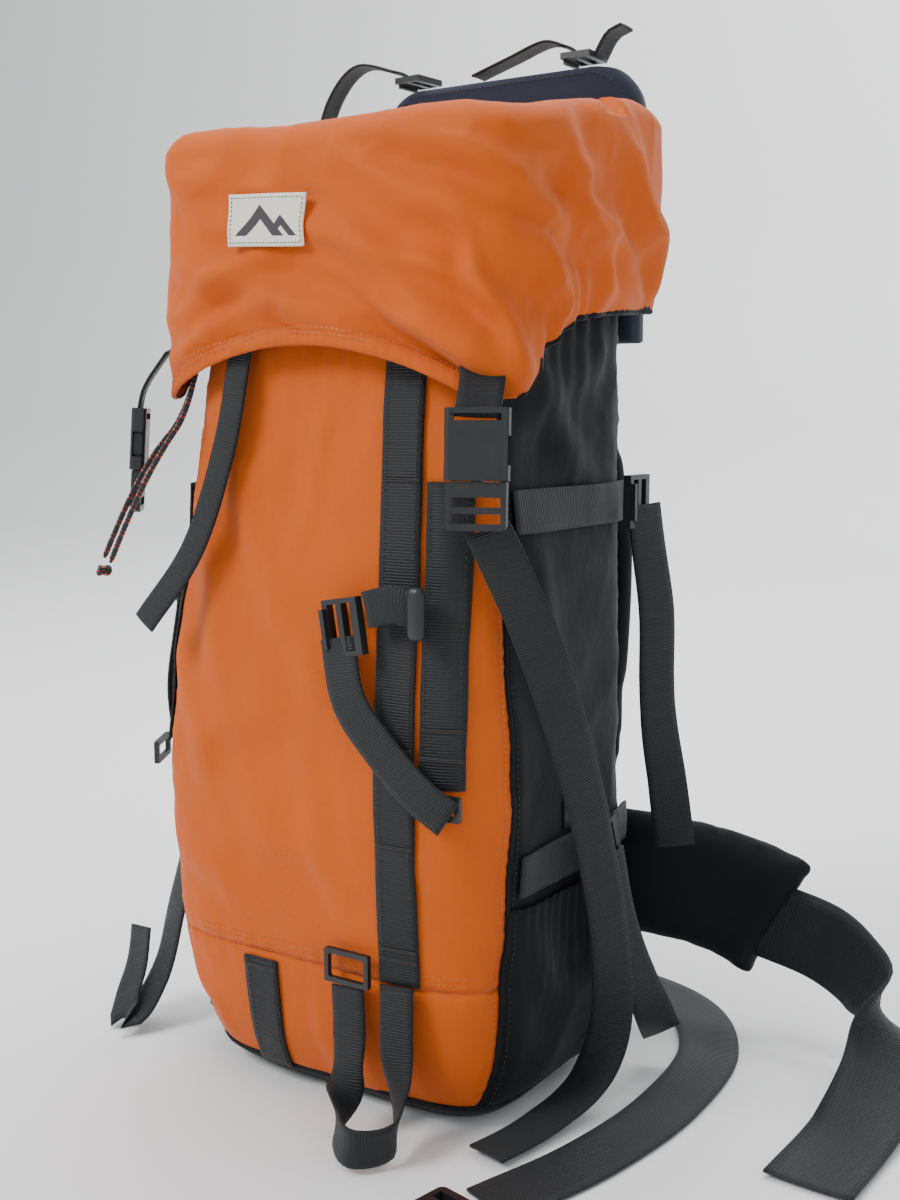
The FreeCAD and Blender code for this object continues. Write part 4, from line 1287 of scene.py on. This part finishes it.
class PACK_OT_seams(Piece, bpy.types.Operator):
    """Stitch the seams of the bag and lid"""
    bl_idname = "pack.seams"
    bl_label = "Seams"

    def build(self):
        orange, dark = [], []
        for side in (-1, 1):
            lines = {0.0045: [], -0.0045: []}
            piping = []
            for i in range(110):
                z = 0.014 + 0.455 * i / 109
                sides = extents(z)
                angle = seam_angle(sides, SIDE_SEAM_Y)
                x = self.on_outline(sides, -angle, side)
                for shift, line in lines.items():
                    at = Vector((x + side * -abs(shift) * 0.5, SIDE_SEAM_Y - shift, z))
                    line.append(drop("bag", at, Vector((-side, 0.35, 0)).normalized(), 0.0004))
                inward = Vector((-side, 0.2, 0)).normalized()
                piping.append(drop("bag", Vector((x, SIDE_SEAM_Y, z)), inward, 0.0))
            orange.append(lines[0.0045])
            dark.append(lines[-0.0045])
            obj = tube(("right" if side > 0 else "left") + "_piping", piping, 0.0016, "black", 8)
            settle(obj, "pack", "black_nylon")
        front = Vector((0, 1, 0))
        for z in (LOWER_SEAM_Z + 0.005, LOWER_SEAM_Z + 0.009, 0.470):
            orange.append(stitch_line((-0.098, 0, z), (0.088, 0, z), front, 0.0003))
        stitches("orange_seams", orange, "pack", "orange_thread")
        stitches("dark_seams", dark, "pack", "thread")
        lid = []
        for lift in (0.006, 0.009):
            points = []
            for i in range(64):
                x = -0.112 + 0.222 * i / 63
                points.append(drop("lid", Vector((x, 0, hem_height(x, -0.122) + lift)), front, 0.0025))
            lid.append(points)
        stitches("lid_hem_stitches", lid, "lid", "orange_thread")

    @staticmethod
    def on_outline(sides, angle, side):
        left, right, _, _ = sides
        return (left + right) / 2 + side * (right - left) / 2 * abs(math.cos(angle)) ** (2 / BAG_SQUARE)


class PACK_OT_cords(Piece, bpy.types.Operator):
    """Build the two drawcord strands and their knot"""
    bl_idname = "pack.cords"
    bl_label = "Drawcord"

    STRANDS = {
        "drawcord_front": ((-0.097, -0.102, 0.452), (-0.101, -0.107, 0.412), (-0.114, -0.122, 0.384),
                           (-0.133, -0.129, 0.348), (-0.150, -0.129, 0.318)),
        "drawcord_rear": ((-0.106, -0.092, 0.448), (-0.111, -0.098, 0.410), (-0.126, -0.117, 0.382),
                          (-0.141, -0.127, 0.348), (-0.153, -0.131, 0.321)),
    }
    KNOT = Vector((-0.1545, -0.1305, 0.313))
    WIDTH = 0.0034

    def route(self, name, points):
        """Points along the smooth line of a strand."""
        curve = bpy.data.curves.new(name + "_route", "CURVE")
        curve.dimensions = "3D"
        curve.resolution_u = 16
        spline = curve.splines.new("NURBS")
        spline.points.add(len(points) - 1)
        for point, at in zip(spline.points, points):
            point.co = (*at, 1)
        spline.order_u = 3
        spline.use_endpoint_u = True
        obj = bpy.data.objects.new(name + "_route", curve)
        bpy.context.scene.collection.objects.link(obj)
        graph = bpy.context.evaluated_depsgraph_get()
        graph.update()
        mesh = bpy.data.meshes.new_from_object(obj.evaluated_get(graph))
        line = [v.co.copy() for v in mesh.vertices]
        bpy.data.objects.remove(obj)
        return line

    def build(self):
        knot_line = []
        for k in range(97):
            a = 2 * math.pi * k / 96
            knot_line.append(self.KNOT + 0.00125 * Vector((
                math.sin(a) + 1.8 * math.sin(2 * a), math.cos(a) - 1.8 * math.cos(2 * a),
                -1.3 * math.sin(3 * a))))
        knot = tube("cord_knot", knot_line, self.WIDTH / 2, "cord", 10, cap=False)
        settle(knot, "pack", "flecked_cord", "drawcord_knot")
        for name, points in self.STRANDS.items():
            line = self.route(name, points)
            obj = tube(name + "_cord", line, self.WIDTH / 2, "cord", 12)
            settle(obj, "pack", "flecked_cord", name)


class PACK_OT_hardware(Piece, bpy.types.Operator):
    """Give the moulded and metal parts their material and softened edges"""
    bl_idname = "pack.hardware"
    bl_label = "Hardware"

    def build(self):
        for node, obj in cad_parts.items():
            moulded = any(word in node for word in ("buckle", "lock", "ring", "_arm_"))
            metal = node in ("frame_stays", "lid_zip_slider")
            kind = "acetal" if moulded else "metal" if metal else "navy"
            obj.data.materials.clear()
            obj.data.materials.append(MATERIALS[kind])
            if moulded:
                bevel = obj.modifiers.new("edges", "BEVEL")
                bevel.width = 0.0007
                bevel.segments = 3
                bevel.limit_method = "ANGLE"
                bevel.angle_limit = math.radians(40)
                bevel.harden_normals = False


class PACK_OT_stage(Piece, bpy.types.Operator):
    """Lay the pale floor and set the lights and camera"""
    bl_idname = "pack.stage"
    bl_label = "Stage"

    def build(self):
        scene = bpy.context.scene
        rows = []
        for y, z in ((-12.0, 0), (0.5, 0), (1.6, 0), (2.4, 0.05), (3.0, 0.35), (3.3, 1.0), (3.4, 4.0)):
            rows.append([Vector((x, y, z - 0.0002)) for x in (-16, -8, 0, 8, 16)])
        MATERIALS["floor"] = Nodes("pale_floor").finish(Base_Color=(0.86, 0.86, 0.86, 1), Roughness=0.85)
        floor = grid("floor", rows, "floor")
        world = bpy.data.worlds.new("studio")
        world.use_nodes = True
        world.node_tree.nodes["Background"].inputs["Color"].default_value = (0.95, 0.97, 1.0, 1)
        world.node_tree.nodes["Background"].inputs["Strength"].default_value = 0.72
        scene.world = world
        middle = (0, 0, 0.3)
        lights = (("key", (-0.9, -1.6, 1.7), 0.8, 40, middle), ("fill", (1.9, -1.3, 1.1), 1.4, 8, middle),
                  ("top", (-0.2, 0.1, 2.2), 0.8, 16, middle),
                  ("backdrop", (0.0, 1.1, 2.6), 2.5, 110, (-0.8, 3.2, 0.8)))
        for name, at, size, power, aim in lights:
            lamp = bpy.data.lights.new(name, "AREA")
            lamp.size = size
            lamp.energy = power
            obj = bpy.data.objects.new(name, lamp)
            obj.location = at
            obj.rotation_euler = (Vector(aim) - Vector(at)).to_track_quat("-Z", "Y").to_euler()
            scene.collection.objects.link(obj)
        camera = bpy.data.objects.new("camera", bpy.data.cameras.new("camera"))
        camera.data.sensor_fit = "VERTICAL"
        camera.data.sensor_height = 36
        camera.data.lens = 43.4
        camera.location = (0.4986, -0.7494, 0.41)
        camera.rotation_euler = (math.radians(90 - 7.5), 0, math.radians(33))
        scene.collection.objects.link(camera)
        scene.camera = camera


class PACK_PT_panel(bpy.types.Panel):
    """Buttons for building the pack"""
    bl_label = "Climbing Pack"
    bl_idname = "PACK_PT_panel"
    bl_space_type = "VIEW_3D"
    bl_region_type = "UI"
    bl_category = "Climbing Pack"

    def draw(self, context):
        for group in (context.scene.pack_colours, context.scene.pack_sizes):
            for name in group.__annotations__:
                self.layout.prop(group, name)
        for operator in OPERATORS:
            self.layout.operator(operator.bl_idname)


OPERATORS = (PACK_OT_materials, PACK_OT_hardware, PACK_OT_bag, PACK_OT_lid, PACK_OT_back, PACK_OT_webbing,
             PACK_OT_seams, PACK_OT_cords, PACK_OT_stage)
CLASSES = (PackColours, PackSizes, *OPERATORS, PACK_PT_panel)


def register():
    for cls in CLASSES:
        bpy.utils.register_class(cls)
    bpy.types.Scene.pack_colours = bpy.props.PointerProperty(type=PackColours)
    bpy.types.Scene.pack_sizes = bpy.props.PointerProperty(type=PackSizes)


def unregister():
    del bpy.types.Scene.pack_sizes
    del bpy.types.Scene.pack_colours
    for cls in reversed(CLASSES):
        bpy.utils.unregister_class(cls)


def main():
    register()
    bpy.ops.pack.materials()
    bpy.ops.pack.hardware()
    bpy.ops.pack.bag()
    bpy.ops.pack.lid()
    bpy.ops.pack.back()
    bpy.ops.pack.webbing()
    bpy.ops.pack.seams()
    bpy.ops.pack.cords()
    bpy.ops.pack.stage()
    bpy.context.view_layer.update()


if __name__ == "__main__":
    main()
